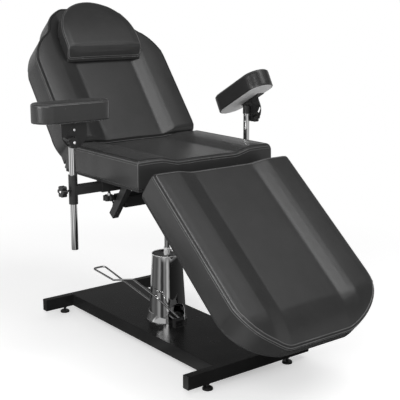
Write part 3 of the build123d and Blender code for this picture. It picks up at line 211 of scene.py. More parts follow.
def coordinates(mesh):
    """The mesh's points as an array."""
    flat = np.empty(len(mesh.vertices) * 3, np.float32)
    mesh.vertices.foreach_get("co", flat)
    return flat.reshape(-1, 3)


def box_middle(node):
    """The middle of a node's box."""
    low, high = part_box(node)
    return (Vector(low) + Vector(high)) / 2


def rest_frame(joint, x_axis, z_axis):
    """A frame at a rest's hinge: its X along the rest, its Z out of the padded side."""
    origin = Vector(JOINTS[joint]["pos_m"])
    y_axis = z_axis.cross(x_axis)
    turn = Matrix((x_axis, y_axis, z_axis)).transposed().to_4x4()
    return Matrix.Translation(origin) @ turn


def arm_place(side):
    """The frame of one armrest pad at its pivot: X along the pad."""
    origin = Matrix.Translation(Vector(JOINTS["tilt_" + side]["pos_m"]))
    if side == "left":
        return origin @ Matrix.Rotation(-LEFT_ARM_TILT, 4, "Y")
    return origin @ Matrix.Rotation(-pi / 2, 4, "Z")


LEG_PLACE = rest_frame("leg_lift", Vector((cos(LEG_ANGLE), 0, -sin(LEG_ANGLE))),
                       Vector((sin(LEG_ANGLE), 0, cos(LEG_ANGLE))))
BACK_PLACE = rest_frame("back_recline", Vector((-cos(BACK_ANGLE), 0, sin(BACK_ANGLE))),
                        Vector((sin(BACK_ANGLE), 0, cos(BACK_ANGLE))))
SEAT_PLACE = Matrix.Translation(box_middle("seat_pad"))


# Cushions: each is remeshed from its CAD solid and blown up a little by a cloth simulation.

FIRST_EASE = (0.5, 2)
LAST_EASE = (0.4, 1)
# The simulated mesh's voxel over the finished one's, and how its movement is carried over.
COARSER = 1.7
NEAR_POINTS = 4
NEAR_SOFTENING = 0.5 * MM
CLOTH_FRAMES = 20
HELD_LEVELS = 10
# One minus the cosine between neighbouring normals: where a rim begins, and how much more makes a full rim.
RIM_BEGINS = 0.02
RIM_SPAN = 0.05
RIM_SPREAD = 0.8
# From a frozen end the swell grows over this length, after a stretch of this share of it that stays still.
END_LENGTH = 50 * MM
END_STILL = 0.3
# Stands for the length of a movement of nothing, which is divided by.
TINY = 1e-9


def remeshed(node, place, name, voxel):
    """An evenly meshed copy of a CAD cushion with its edges eased. Its own axes follow the cushion."""
    mesh = NODES[node].data.copy()
    mesh.name = name
    mesh.materials.clear()
    mesh.transform(place.inverted())
    obj = link(bpy.data.objects.new(name, mesh))
    obj.matrix_world = place
    remesh = obj.modifiers.new("even", "REMESH")
    remesh.mode = "VOXEL"
    remesh.voxel_size = voxel
    return eased(baked(obj), *FIRST_EASE)


def rims(mesh):
    """1 where a mesh turns sharply, at its rims, falling to 0 on its flats."""
    normals = np.empty(len(mesh.vertices) * 3, np.float32)
    mesh.vertices.foreach_get("normal", normals)
    normals = normals.reshape(-1, 3)
    ends = np.empty(len(mesh.edges) * 2, np.int32)
    mesh.edges.foreach_get("vertices", ends)
    ends = ends.reshape(-1, 2)
    turn = 1 - np.sum(normals[ends[:, 0]] * normals[ends[:, 1]], axis=1)
    sharp = np.zeros(len(mesh.vertices))
    for column in (0, 1):
        np.maximum.at(sharp, ends[:, column], turn)
    sharp = np.clip((sharp - RIM_BEGINS) / RIM_SPAN, 0, 1)
    spread = sharp.copy()
    for column in (0, 1):
        np.maximum.at(spread, ends[:, column], sharp[ends[:, 1 - column]] * RIM_SPREAD)
    return spread


def filled(node, place, voxel, hold):
    """Where a cushion's coarse mesh starts, and how far pressure inside its leather moves each point."""
    obj = remeshed(node, place, "filling", voxel)
    start = coordinates(obj.data)
    held = np.maximum(hold(start, start.min(0), start.max(0)), rims(obj.data))
    group = obj.vertex_groups.new(name="held")
    for step in range(HELD_LEVELS + 1):
        level = step / HELD_LEVELS
        members = np.nonzero(np.abs(held - level) <= 0.5 / HELD_LEVELS)[0]
        if len(members):
            group.add([int(member) for member in members], level, "REPLACE")
    cloth = obj.modifiers.new("fill", "CLOTH")
    settings = cloth.settings
    settings.quality = 4
    settings.mass = 0.3
    settings.tension_stiffness = 25
    settings.compression_stiffness = 15
    settings.shear_stiffness = 8
    settings.bending_stiffness = 1.5
    settings.use_pressure = True
    settings.uniform_pressure_force = 4.0
    settings.vertex_group_mass = "held"
    settings.pin_stiffness = 1.0
    settings.effector_weights.gravity = 0.0
    cloth.collision_settings.use_self_collision = False
    for number in range(1, CLOTH_FRAMES + 1):
        bpy.context.scene.frame_set(number)
    baked(obj)
    bpy.context.scene.frame_set(1)
    moved = coordinates(obj.data) - start
    bpy.data.objects.remove(obj)
    return start, moved


def carried_over(start, moved, points):
    """The coarse mesh's movement at the points of a finer one, from its nearest few points."""
    tree = KDTree(len(start))
    for index, point in enumerate(start):
        tree.insert(point, index)
    tree.balance()
    out = np.zeros_like(points)
    for index, point in enumerate(points):
        near = tree.find_n(point, NEAR_POINTS)
        shares = np.array([1 / (distance + NEAR_SOFTENING) for _, _, distance in near])
        out[index] = shares @ moved[[number for _, number, _ in near]] / shares.sum()
    return out


def cushion(node, body, place, name, voxel, swell, hold, frozen_ends=(False, False)):
    """The leather cushion that stands for a CAD solid. No point of it moves further than the swell.

    hold(points, low, high) gives 1 where a seam or the board holds the leather and 0 where it is free.
    """
    obj = remeshed(node, place, name, voxel)
    points = coordinates(obj.data)
    low, high = points.min(0), points.max(0)
    limit = swell * (1 - np.maximum(hold(points, low, high), rims(obj.data)))
    for end, frozen in enumerate(frozen_ends):
        if frozen:
            gap = np.abs(points[:, 0] - (low, high)[end][0])
            limit = limit * np.clip(gap / END_LENGTH - END_STILL, 0, 1)
    moved = carried_over(*filled(node, place, voxel * COARSER, hold), points)
    length = np.maximum(np.linalg.norm(moved, axis=1), TINY)
    moved = moved * np.minimum(1.0, limit / length)[:, None]
    obj.data.vertices.foreach_set("co", (points + moved).astype(np.float32).ravel())
    obj.data.update()
    eased(obj, *LAST_EASE)
    obj.data.materials.clear()
    obj.data.materials.append(MATERIALS["leather"])
    obj.data.polygons.foreach_set("use_smooth", [True] * len(obj.data.polygons))
    obj.data.transform(place)
    obj.matrix_world = Matrix.Identity(4)
    divide = obj.modifiers.new("finer", "SUBSURF")
    divide.levels = 1
    divide.render_levels = 1
    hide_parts(node)
    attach(obj, body)
    return obj


# Seams and piping: cords laid on the finished cushions along points that rays find there.
# Pale piping cords carry painted highlights, and near-black seam cords carry painted shade.

# How far outside a cushion the rays start: round its middle, over its faces and beside its rim.
OUTLINE_FAR = 1.2
FACE_FAR = 0.6
SIDE_FAR = 60 * MM
RAYS_PER_POINT = 3
# The rim's height is read a little inside the rim.
RIM_READ_SHARE = 1.1
# Radius over the top welt's, for the side welts from the rim down and for the lower one, and how far a
# welt on a face sinks into it.
SIDE_WELT_SHARES = (1, 0.6)
LOWER_WELT_SHARE = 0.7
WELT_SUNK_SHARE = 0.3
LOWER_INSET = 3 * MM
SIDE_PASSES = 3
FACE_PASSES = 2


def tree_of(obj):
    """A search tree over a piece's finished faces, in the row frame."""
    return BVHTree.FromObject(obj, bpy.context.evaluated_depsgraph_get())


def spaced(points, count):
    """A closed run of points, spaced evenly along its length."""
    ring = np.array([tuple(point) for point in points] + [tuple(points[0])])
    steps = np.linalg.norm(np.diff(ring, axis=0), axis=1)
    along = np.concatenate([[0], np.cumsum(steps)])
    want = np.linspace(0, along[-1], count, endpoint=False)
    return [Vector([float(np.interp(spot, along, ring[:, axis])) for axis in range(3)]) for spot in want]


def outline(tree, place, centre, depth, count):
    """Points round a cushion's side at one depth, found by rays towards its middle, evenly spaced."""
    points = []
    rays = count * RAYS_PER_POINT
    for index in range(rays):
        angle = 2 * pi * index / rays
        out = Vector((cos(angle), sin(angle), 0))
        start = place @ (Vector((centre[0], centre[1], depth)) + out * OUTLINE_FAR)
        hit = tree.ray_cast(start, place.to_3x3() @ -out)[0]
        if hit is not None:
            points.append(place.inverted() @ hit)
    return spaced(points, count)


def rounded(points, passes):
    """A closed run of points with its small kinks eased out."""
    ring = np.array([tuple(point) for point in points])
    for _ in range(passes):
        ring = ring * 0.5 + (np.roll(ring, 1, 0) + np.roll(ring, -1, 0)) * 0.25
    return [Vector(point) for point in ring]


def inset(points, distance):
    """A closed outline moved inwards in its own plane."""
    count = len(points)
    out = []
    for index, point in enumerate(points):
        along = points[(index + 1) % count] - points[index - 1]
        inward = Vector((-along.y, along.x, 0)).normalized()
        out.append(point + inward * distance)
    return out


def on_face(tree, place, points, lift, way=1):
    """The points moved along the cushion's own Z onto its upper face, or its lower one for a way of -1."""
    out = []
    for point in points:
        start = place @ Vector((point.x, point.y, FACE_FAR * way))
        hit = tree.ray_cast(start, place.to_3x3() @ Vector((0, 0, -way)))[0]
        if hit is not None:
            local = place.inverted() @ hit
            out.append(Vector((local.x, local.y, local.z + lift)))
    return out


def on_side(tree, place, ring, depths):
    """The points of an outline moved onto the cushion's side at given depths."""
    out = []
    for point, start, depth in zip(ring, inset(ring, -SIDE_FAR), depths):
        inward = (point - start).normalized()
        hit = tree.ray_cast(place @ Vector((start.x, start.y, depth)), place.to_3x3() @ inward)[0]
        if hit is not None:
            out.append(place.inverted() @ hit)
    return out


def local_box(obj, place):
    """Lowest and highest corner of a piece in a frame of its own."""
    graph = bpy.context.evaluated_depsgraph_get()
    points = coordinates(obj.evaluated_get(graph).to_mesh())
    inverse = np.array(place.inverted())
    local = points @ inverse[:3, :3].T + inverse[:3, 3]
    return local.min(0), local.max(0)


def cord_piece(name, points, place, radius, body, material="painted_highlight_piping", closed=True):
    """A round cord along a run of local points, as a mesh."""
    curve = bpy.data.curves.new(name, "CURVE")
    curve.dimensions = "3D"
    curve.bevel_depth = radius
    curve.bevel_resolution = 2
    spline = curve.splines.new("POLY")
    spline.points.add(len(points) - 1)
    for knot, point in zip(spline.points, points):
        knot.co = tuple(place @ point) + (1.0,)
    spline.use_cyclic_u = closed
    spline.use_smooth = True
    curve.materials.append(MATERIALS[material])
    obj = link(bpy.data.objects.new(name, curve))
    mesh = bpy.data.meshes.new_from_object(obj.evaluated_get(bpy.context.evaluated_depsgraph_get()))
    piece = link(bpy.data.objects.new(name, mesh))
    bpy.data.objects.remove(obj)
    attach(piece, body)


def welts(pad, place, body, name, depth, strips, count, radius, top="painted_highlight_piping"):
    """The seams round a cushion: on its side at each distance below its rim, and one just inside its rim.

    A cushion with a second strip also has a welt round its lower face.
    """
    # The side and lower welts are pale piping, a painted highlight; the top welt has the finish given.
    low, high = local_box(pad, place)
    tree = tree_of(pad)
    middle = ((low[0] + high[0]) / 2, (low[1] + high[1]) / 2)
    ring = rounded(outline(tree, place, middle, float(high[2]) - depth, count), SIDE_PASSES)
    rim = strips[0]
    heights = [point.z for point in on_face(tree, place, inset(ring, rim * RIM_READ_SHARE), 0)]
    for number, strip in enumerate(strips):
        side = rounded(on_side(tree, place, ring, [height - strip for height in heights]), SIDE_PASSES)
        cord_piece(f"{name}_side_welt_{number + 1}", side, place, radius * SIDE_WELT_SHARES[number], body)
        if number == 0:
            inner = on_face(tree, place, rounded(inset(side, rim), FACE_PASSES), -radius * WELT_SUNK_SHARE)
            cord_piece(name + "_top_welt", rounded(inner, FACE_PASSES), place, radius, body, top)
            if len(strips) > 1:
                below = on_face(tree, place, inset(side, LOWER_INSET), radius * WELT_SUNK_SHARE, -1)
                below = rounded(below, FACE_PASSES)
                cord_piece(name + "_lower_welt", below, place, radius * LOWER_WELT_SHARE, body)


# What holds the leather.

# Where the slopes of a long cushion's section begin and end, from its middle.
SLOPE_OUTER = 200 * MM
SLOPE_INNER = 135 * MM
SEAM_WIDTH = 14 * MM
# The hold along the upper edges: its width over a seam's, and how far it reaches down.
EDGE_WIDTH_SHARE = 0.5
EDGE_DEPTH = 20 * MM
# How far up the board holds the leather: as a share of a long cushion's thickness, and on a small cushion.
BOARD_SHARE = 0.2
SMALL_BOARD_HEIGHT = 12 * MM


def band(values, centre, width):
    """1 at a centre, falling to 0 at a width from it."""
    return np.clip(1 - np.abs(values - centre) / width, 0, 1)


def long_pad_hold(thickness):
    """Holds a long cushion at its board, along its upper edges and along the lines of its section."""
    def hold(points, low, high):
        across = np.abs(points[:, 1])
        held = band(across, SLOPE_OUTER, SEAM_WIDTH)
        held = np.maximum(held, band(across, SLOPE_INNER, SEAM_WIDTH))
        edge = band(across, high[1], SEAM_WIDTH * EDGE_WIDTH_SHARE)
        held = np.maximum(held, edge * (points[:, 2] > high[2] - EDGE_DEPTH))
        floor = np.clip(1 - (points[:, 2] - low[2]) / (thickness * BOARD_SHARE), 0, 1)
        return np.clip(np.maximum(held, floor), 0, 1)
    return hold


def small_pad_hold(points, low, high):
    """Holds a small cushion at its board. Its rims are held as every cushion's are."""
    return np.clip(1 - (points[:, 2] - low[2]) / SMALL_BOARD_HEIGHT, 0, 1)


# The cushions.

# Each long one: its frame, thickness, frozen ends, the depth below its top at which it is outlined, and the
# look of its top seam: pale piping with a painted highlight, or a near-black seam with painted shade.
LONG_PADS = {
    "leg": (LEG_PLACE, 0.111, (True, False), 75 * MM, "painted_highlight_piping"),
    "seat": (SEAT_PLACE, 0.103, (True, True), 26 * MM, "seam"),
    "back": (BACK_PLACE, 0.112, (True, False), 26 * MM, "seam"),
}
LONG_VOXEL = 5.5 * MM
LONG_SWELL = 0.7 * MM
LONG_STRIPS = (7 * MM, 15 * MM)
LONG_WELT = 1.9 * MM
LONG_WELT_POINTS = 420
PILLOW_VOXEL = 4 * MM
PILLOW_SWELL = 1.2 * MM
PILLOW_OUTLINE_DEPTH = 45 * MM
PILLOW_WELT = 1.2 * MM
PILLOW_WELT_POINTS = 260
ARM_VOXEL = 3.5 * MM
ARM_SWELL = 1.5 * MM
ARM_OUTLINE_DEPTH = 25 * MM
ARM_WELT = 1.0 * MM
ARM_WELT_POINTS = 220
SMALL_STRIPS = (4 * MM,)
# The seams down the seat's foot-end corners: where the corner is, where the rays to it end and begin, and
# the levels of its points as shares of the seat's height.
CORNER_INSET = 4 * MM
CORNER_SIDE_SHARE = 0.985
CORNER_NEAR_SHARE = 0.6
CORNER_FAR_SHARE = 1.2
CORNER_SEAM = 1.3 * MM
CORNER_LEVELS = np.linspace(0.04, 0.93, 24)


def corner_seam(pad, place, body, name, corner, levels):
    """A seam down one upright corner of a cushion."""
    tree = tree_of(pad)
    points = []
    for level in levels:
        target = Vector((corner[0] * CORNER_NEAR_SHARE, corner[1] * CORNER_NEAR_SHARE, level))
        start = place @ Vector((corner[0] * CORNER_FAR_SHARE, corner[1] * CORNER_FAR_SHARE, level))
        hit = tree.ray_cast(start, (place @ target - start).normalized())[0]
        if hit is not None:
            points.append(place.inverted() @ hit)
    # Pale piping: the corner's light line is a painted highlight.
    cord_piece(name, points, place, CORNER_SEAM, body, closed=False)


def seat_corners(seat):
    """The seams down the seat's two corners at its foot end."""
    low, high = local_box(seat, SEAT_PLACE)
    levels = [float(low[2] + (high[2] - low[2]) * share) for share in CORNER_LEVELS]
    for side, row in (("right", low[1]), ("left", high[1])):
        corner = (float(high[0]) - CORNER_INSET, float(row) * CORNER_SIDE_SHARE)
        corner_seam(seat, SEAT_PLACE, "seat", "seat_corner_seam_" + side, corner, levels)


long_pads = {}
for name, (place, thickness, frozen_ends, depth, top_seam) in LONG_PADS.items():
    long_pads[name] = cushion(name + "_pad", name, place, name + "_cushion", LONG_VOXEL, LONG_SWELL,
                              long_pad_hold(thickness), frozen_ends)
    welts(long_pads[name], place, name, name, depth, LONG_STRIPS, LONG_WELT_POINTS, LONG_WELT, top_seam)
seat_corners(long_pads["seat"])

pillow = cushion("head_pillow", "pillow", BACK_PLACE, "pillow_cushion", PILLOW_VOXEL, PILLOW_SWELL,
                 small_pad_hold)
welts(pillow, BACK_PLACE, "pillow", "pillow", PILLOW_OUTLINE_DEPTH, SMALL_STRIPS, PILLOW_WELT_POINTS,
      PILLOW_WELT)
for side in ("left", "right"):
    body = "armrest_" + side
    arm = cushion("armrest_pad_" + side, body, arm_place(side), "armrest_cushion_" + side, ARM_VOXEL,
                  ARM_SWELL, small_pad_hold)
    welts(arm, arm_place(side), body, body, ARM_OUTLINE_DEPTH, SMALL_STRIPS, ARM_WELT_POINTS, ARM_WELT)


# The pump's cover: flared foot, beads, notch edge and lid. All of it stands on the base.

COVER_TOP_RADIUS = 59.5 * MM
COVER_CLEAR = 0.4 * MM
SKIRT_HEIGHT = 38 * MM
SKIRT_FLARE = 4.0 * MM
SKIRT_FLARE_POWER = 1.4
SKIRT_WALL = 0.8 * MM
SKIRT_THINNING = 0.9
SKIRT_RINGS = 12
SKIRT_COLUMNS = 120
# Beside the slot of the lever's far leg the foot is only this share as high.
SKIRT_SHARE_AT_SLOT = 0.52
LEVER_SLOT_CLEAR = 11 * MM
LEVER_SLOT_ACROSS = -34.0 * MM
NOTCH_HALF_ANGLE = radians(39)
NOTCH_RADIUS = 41 * MM
NOTCH_HEIGHT = 80 * MM
NOTCH_SIDE_STEPS = 6
NOTCH_ARCH_STEPS = 24
NOTCH_EDGE = 1.2 * MM
TOP_BEAD = 1.5 * MM
TOP_BEAD_INSET = 0.8 * MM
FOOT_BEAD = 1.0 * MM
FOOT_BEAD_RISE = 1.5 * MM
CIRCLE_POINTS = 96
COLLAR_RADIUS = 13 * MM
LID_DROP = 5 * MM
LID_RISE = 0.4 * MM
LID_THICKNESS = 0.6 * MM
LID_COVER_GAP = 3 * MM
LID_COLLAR_GAP = 0.6 * MM
COVER_LOW, COVER_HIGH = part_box("pump_cover")
COVER_CENTRE = ((COVER_LOW[0] + COVER_HIGH[0]) / 2, (COVER_LOW[1] + COVER_HIGH[1]) / 2)
COVER_RADIUS = (COVER_HIGH[1] - COVER_LOW[1]) / 2
COVER_HEIGHT = COVER_HIGH[2] - COVER_LOW[2]


def skirt_point(angle, layer, share):
    """A point of the flared foot: layer 0 is its outer skin and layer 1 its inner one, share runs up it."""
    by_slot = abs(COVER_RADIUS * sin(angle) - LEVER_SLOT_ACROSS) <= LEVER_SLOT_CLEAR and cos(angle) <= 0
    share = share * (SKIRT_SHARE_AT_SLOT if by_slot else 1)
    top_radius = COVER_RADIUS - SKIRT_HEIGHT * (COVER_RADIUS - COVER_TOP_RADIUS) / COVER_HEIGHT
    flare = SKIRT_FLARE * (1 - share) ** SKIRT_FLARE_POWER
    wall = SKIRT_WALL * (1 - share * SKIRT_THINNING)
    reach = COVER_RADIUS + (top_radius - COVER_RADIUS) * share + flare + COVER_CLEAR * (1 - share)
    reach += (1 - layer) * wall
    return (COVER_CENTRE[0] + reach * cos(angle), COVER_CENTRE[1] + reach * sin(angle),
            COVER_LOW[2] + COVER_CLEAR + SKIRT_HEIGHT * share)


def cover_skirt():
    """The flared chrome foot of the pump's cover, open where the cover has its notch."""
    rings, columns = SKIRT_RINGS, SKIRT_COLUMNS
    sweep = 2 * pi - 2 * NOTCH_HALF_ANGLE
    points = [skirt_point(NOTCH_HALF_ANGLE + sweep * column / columns, layer, ring / rings)
              for layer in range(2) for ring in range(rings + 1) for column in range(columns + 1)]
    wide = columns + 1
    layer_size = wide * (rings + 1)
    faces = []
    for ring in range(rings):
        for column in range(columns):
            a = ring * wide + column
            faces.append((a, a + 1, a + wide + 1, a + wide))
            b = a + layer_size
            faces.append((b, b + wide, b + wide + 1, b + 1))
    for column in range(columns):
        for start in (0, rings * wide):
            a, b = start + column, start + column + layer_size
            faces.append((a, b, b + 1, a + 1) if start == 0 else (a, a + 1, b + 1, b))
    for ring in range(rings):
        for edge in (0, columns):
            a, b = ring * wide + edge, ring * wide + edge + layer_size
            faces.append((a, a + wide, b + wide, b) if edge == 0 else (a, b, b + wide, a + wide))
    skirt = mesh_object("cover_skirt", points, faces, "chrome")
    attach(skirt, "base")


def circle(radius, height):
    """Points of a level circle round the cover's axis."""
    turns = [2 * pi * step / CIRCLE_POINTS for step in range(CIRCLE_POINTS)]
    return [Vector((COVER_CENTRE[0] + radius * cos(turn), COVER_CENTRE[1] + radius * sin(turn), height))
            for turn in turns]


def from_axis(point):
    """The level direction from the cover's axis to a point."""
    return Vector((point.x - COVER_CENTRE[0], point.y - COVER_CENTRE[1]))


def painted_highlight_cord(name, points, radius, closed=False):
    """An edge or bead on the cover, near white as a painted highlight."""
    cord_piece(name, points, Matrix.Identity(4), radius, "base", "bright_edge", closed)


def cover_beads():
    """Near-white beads, painted highlights, on the cover's top edge and round its foot but for the notch.
    """
    top = circle(COVER_TOP_RADIUS - TOP_BEAD_INSET, COVER_HIGH[2])
    painted_highlight_cord("cover_bead", top, TOP_BEAD, closed=True)
    foot = [point for point in circle(COVER_RADIUS + SKIRT_FLARE, COVER_LOW[2] + FOOT_BEAD_RISE)
            if abs(from_axis(point).angle(Vector((1, 0)))) > NOTCH_HALF_ANGLE]
    foot.sort(key=lambda point: from_axis(point).angle_signed(Vector((-1, 0))))
    painted_highlight_cord("cover_foot_bead", foot, FOOT_BEAD)


def notch_edge():
    """The rolled edge round the notch's arch and down its sides, near white as a painted highlight."""
    arch = NOTCH_HEIGHT - NOTCH_RADIUS
    side = [arch * step / NOTCH_SIDE_STEPS for step in range(NOTCH_SIDE_STEPS)]
    turns = [pi * step / NOTCH_ARCH_STEPS for step in range(NOTCH_ARCH_STEPS + 1)]
    profile = [(-NOTCH_RADIUS, up) for up in side]
    profile += [(-NOTCH_RADIUS * cos(turn), arch + NOTCH_RADIUS * sin(turn)) for turn in turns]
    profile += [(NOTCH_RADIUS, up) for up in reversed(side)]
    points = []
    for across, up in profile:
        reach = COVER_RADIUS - up * (COVER_RADIUS - COVER_TOP_RADIUS) / COVER_HEIGHT
        out = (reach ** 2 - across ** 2) ** 0.5
        points.append(Vector((COVER_CENTRE[0] + out, COVER_CENTRE[1] + across, COVER_LOW[2] + up)))
    painted_highlight_cord("cover_notch_edge", points, NOTCH_EDGE)


def cover_lid():
    """The dark lid sunk inside the cover's top, open round the ram's collar."""
    level = COVER_HIGH[2] - LID_DROP + LID_RISE
    below = circle(COVER_TOP_RADIUS - LID_COVER_GAP, level) + circle(COLLAR_RADIUS + LID_COLLAR_GAP, level)
    points = below + [point + Vector((0, 0, LID_THICKNESS)) for point in below]
    count = CIRCLE_POINTS
    faces = []
    for index in range(count):
        after = (index + 1) % count
        faces.append((index, count + index, count + after, after))
        faces.append((2 * count + index, 2 * count + after, 3 * count + after, 3 * count + index))
        faces.append((index, after, 2 * count + after, 2 * count + index))
        faces.append((count + index, 3 * count + index, 3 * count + after, count + after))
    lid = mesh_object("cover_lid", points, faces, "black_plastic", smooth=False)
    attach(lid, "base")


cover_skirt()
cover_beads()
notch_edge()
cover_lid()


# Screw heads and nuts, near white as painted glints: radius and height of each kind.

SCREW = (4.5 * MM, 3 * MM)
NUT = (6.5 * MM, 12 * MM)
TILT_STUD = (5 * MM, 3.5 * MM)
HEAD_PROFILE = ((1.0, 0.0), (1.0, 0.25), (0.92, 0.5), (0.7, 0.8), (0.4, 0.95), (0.34, 0.95), (0.3, 0.45))
HEAD_COLUMNS = 24
SCREW_BELOW_PIVOT = 21 * MM
PLATE_THICKNESS = 3 * MM
KNOB_THICKNESS = 19 * MM
UP = Vector((0, 0, 1))


def screw_head(name, place, body, size):
    """A domed screw head or nut that stands on a face: its own Z points out of the face."""
    radius, rise = size
    columns = HEAD_COLUMNS
    points = []
    for out, up in HEAD_PROFILE:
        for column in range(columns):
            angle = 2 * pi * column / columns
            spot = Vector((radius * out * cos(angle), radius * out * sin(angle), rise * up))
            points.append(place @ spot)
    faces = []
    last = len(HEAD_PROFILE) - 1
    for ring in range(last):
        for column in range(columns):
            a = ring * columns + column
            b = ring * columns + (column + 1) % columns
            faces.append((a, b, b + columns, a + columns))
    faces.append(tuple(range(last * columns, (last + 1) * columns)))
    faces.append(tuple(reversed(range(columns))))
    # Near white: a painted glint on the metal.
    head = mesh_object(name, points, faces, "bright_edge")
    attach(head, body)


def facing(point, way):
    """A frame at a point whose Z looks the given way."""
    return Matrix.Translation(point) @ way.to_track_quat("Z", "Y").to_matrix().to_4x4()


def plate_screw(side):
    """The screw head on the knob's side of one tilt plate, below its pivot."""
    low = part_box("tilt_plate_" + side)[0]
    pivot = Vector(JOINTS["tilt_" + side]["pos_m"])
    if side == "right":
        spot = (low[0] + PLATE_THICKNESS, pivot.y, pivot.z - SCREW_BELOW_PIVOT)
        face = Matrix.Translation(spot) @ Matrix.Rotation(pi / 2, 4, "Y")
    else:
        spot = pivot - Matrix.Rotation(-LEFT_ARM_TILT, 4, "Y") @ Vector((0, 0, SCREW_BELOW_PIVOT))
        spot.y = low[1] + PLATE_THICKNESS
        face = Matrix.Translation(spot) @ Matrix.Rotation(-pi / 2, 4, "X")
    screw_head("plate_screw_" + side, face, "armrest_" + side, SCREW)


def sleeve_knob_screws(side):
    """The stud's end on the outer face of a sleeve's knob and the nut on its inner face."""
    body = "sleeve_knob_" + side
    low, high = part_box(body)
    knob = box_middle(body)
    post = box_middle("arm_post_" + side)
    way = Vector((knob.x - post.x, knob.y - post.y, 0)).normalized()
    reach = Vector(((high[0] - low[0]) / 2 * way.x, (high[1] - low[1]) / 2 * way.y, 0)).length
    screw_head("sleeve_stud_" + side, facing(knob + way * reach, way), body, SCREW)
    inner = knob + way * (reach - KNOB_THICKNESS)
    screw_head("sleeve_nut_" + side, facing(inner, -way), body, NUT)


def under_knob_screws(side):
    """The stud's end below the knob under the cross tube and the nut above it."""
    body = "under_knob_" + side
    low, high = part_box(body)
    foot = Vector(((low[0] + high[0]) / 2, (low[1] + high[1]) / 2, low[2]))
    screw_head("under_stud_" + side, facing(foot, -UP), body, SCREW)
    screw_head("under_nut_" + side, facing(foot + UP * KNOB_THICKNESS, UP), body, NUT)


def tilt_knob_screw(side):
    """The stud's end on the outer face of a tilt knob."""
    body = "tilt_knob_" + side
    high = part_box(body)[1]
    knob = box_middle(body)
    if side == "right":
        face = facing(Vector((high[0], knob.y, knob.z)), Vector((1, 0, 0)))
    else:
        face = facing(Vector((knob.x, high[1], knob.z)), Vector((0, 1, 0)))
    screw_head("tilt_stud_" + side, face, body, TILT_STUD)


for side in ("left", "right"):
    plate_screw(side)
for side in ("left", "right"):
    sleeve_knob_screws(side)
    under_knob_screws(side)
    tilt_knob_screw(side)


# The CAD nodes that stay: those not named here are painted black.

CAD_FINISH = {
    "chrome": ("pump_cover", "pump_ram", "arm_post_left", "arm_post_right", "back_spring_rod",
               "leg_spring_rod", "foot_lever"),
    # Collar and body in near-white metal: a painted highlight.
    "bright_edge": ("pump_collar", "pump_body"),
    "base_paint": ("base_cover", "crossbar_front", "crossbar_rear"),
    "steel": ("back_shaft", "leg_shaft"),
    "pale_board": ("armrest_board_left", "armrest_board_right"),
    "dark_board": ("seat_board", "back_board", "leg_board"),
    "black_plastic": ("crossbar_caps_front", "crossbar_caps_rear", "foot_front_left", "foot_front_right",
                      "foot_rear_left", "foot_rear_right", "sleeve_knob_left", "sleeve_knob_right",
                      "under_knob_left", "under_knob_right", "tilt_knob_left", "tilt_knob_right"),
}
FINISH_OF = {node: name for name, nodes in CAD_FINISH.items() for node in nodes}
WELD_GAP = 0.02 * MM
BROKEN_EDGE = 0.8 * MM
SHARP_ANGLE = radians(35)


def dress(node):
    """Gives one carried-over CAD node its finish and small broken edges."""
    obj = NODES[node]
    obj.data.materials.clear()
    obj.data.materials.append(MATERIALS[FINISH_OF.get(node, "black_paint")])
    obj.data.polygons.foreach_set("use_smooth", [True] * len(obj.data.polygons))
    weld = obj.modifiers.new("weld", "WELD")
    weld.merge_threshold = WELD_GAP
    bevel = obj.modifiers.new("edges", "BEVEL")
    bevel.width = BROKEN_EDGE
    bevel.segments = 2
    bevel.limit_method = "ANGLE"
    bevel.angle_limit = SHARP_ANGLE
    normals = obj.modifiers.new("normals", "WEIGHTED_NORMAL")
    normals.keep_sharp = True


for node in NODES:
    dress(node)


# Studio.

# The world's strength: for soft light, for reflections from above and for those near the horizon, and the
# rises of a view between which one of these gives way to the other.
WORLD_AMBIENT = 0.38
WORLD_MIRRORED = 0.06
HORIZON_MIRRORED = 0.45
HORIZON_FADE = (0.15, 0.38)
# What the floor adds for the camera, its half size, and where it turns plain white round the chair.
FLOOR_LIFT = 0.44
FLOOR_SIZE = 9.0
FLOOR_CLEAR = (1.3, 2.3)
FLOOR_GREY = 0.9
FLOOR_ROUGHNESS = 0.8
FLOOR_SPECULAR = 0.1
# Greys that the floor shows in reflections, by share of a turn round the chair: near it, and further out.
STRIPES = ((0.0, 0.4), (0.05, 0.05), (0.10, 0.13), (0.18, 0.08), (0.24, 0.34), (0.28, 0.03),
           (0.31, 0.04), (0.34, 0.22), (0.37, 0.15), (0.40, 0.55), (0.43, 0.30), (0.45, 0.01),
           (0.60, 0.02), (0.85, 0.05), (0.96, 0.5))
FAR_STRIPES = ((0.0, 0.45), (0.10, 0.60), (0.15, 0.90), (0.21, 0.18), (0.26, 0.25), (0.31, 0.80),
               (0.35, 0.70), (0.39, 0.18), (0.44, 0.30), (0.48, 1.0), (0.53, 0.40), (0.72, 0.50),
               (0.84, 0.90), (0.94, 0.30))
# Distances from the chair's middle at which the near stripes give way to the far ones.
STRIPES_CHANGE = (1.8, 2.3)
# Each lamp: place, the point that it faces, width, height and power.
LAMPS = {
    "overhead": ((1.48, 0.65, 3.6), (0.48, 0.12, 0.6), 1.1, 2.7, 34),
    "fill": ((1.09, 2.09, 3.6), (0.37, 1.13, 0.6), 1.2, 2.4, 6),
    "key": ((2.4, -2.4, 2.3), (0, 0, 0.6), 1.6, 1.6, 41),
    "side": ((0.2, -3.2, 1.2), (0, 0, 0.6), 1.4, 0.9, 30),
}
# Camera, solved from the photograph's parallel edges.
CAMERA_PLACE = Vector((2.6998, -1.950, 1.336))
CAMERA_HEADING = radians(52.2)
CAMERA_DOWN = radians(12.73)
CAMERA_LENS = 80.65
SENSOR = 36.0


def mixed(tree, share, output, first, second):
    """A mix of two nodes' shaders by another node's output."""
    node = tree.nodes.new("ShaderNodeMixShader")
    wire(tree, share, output, node, "Fac")
    wire(tree, first, 0, node, 1)
    wire(tree, second, 0, node, 2)
    return node


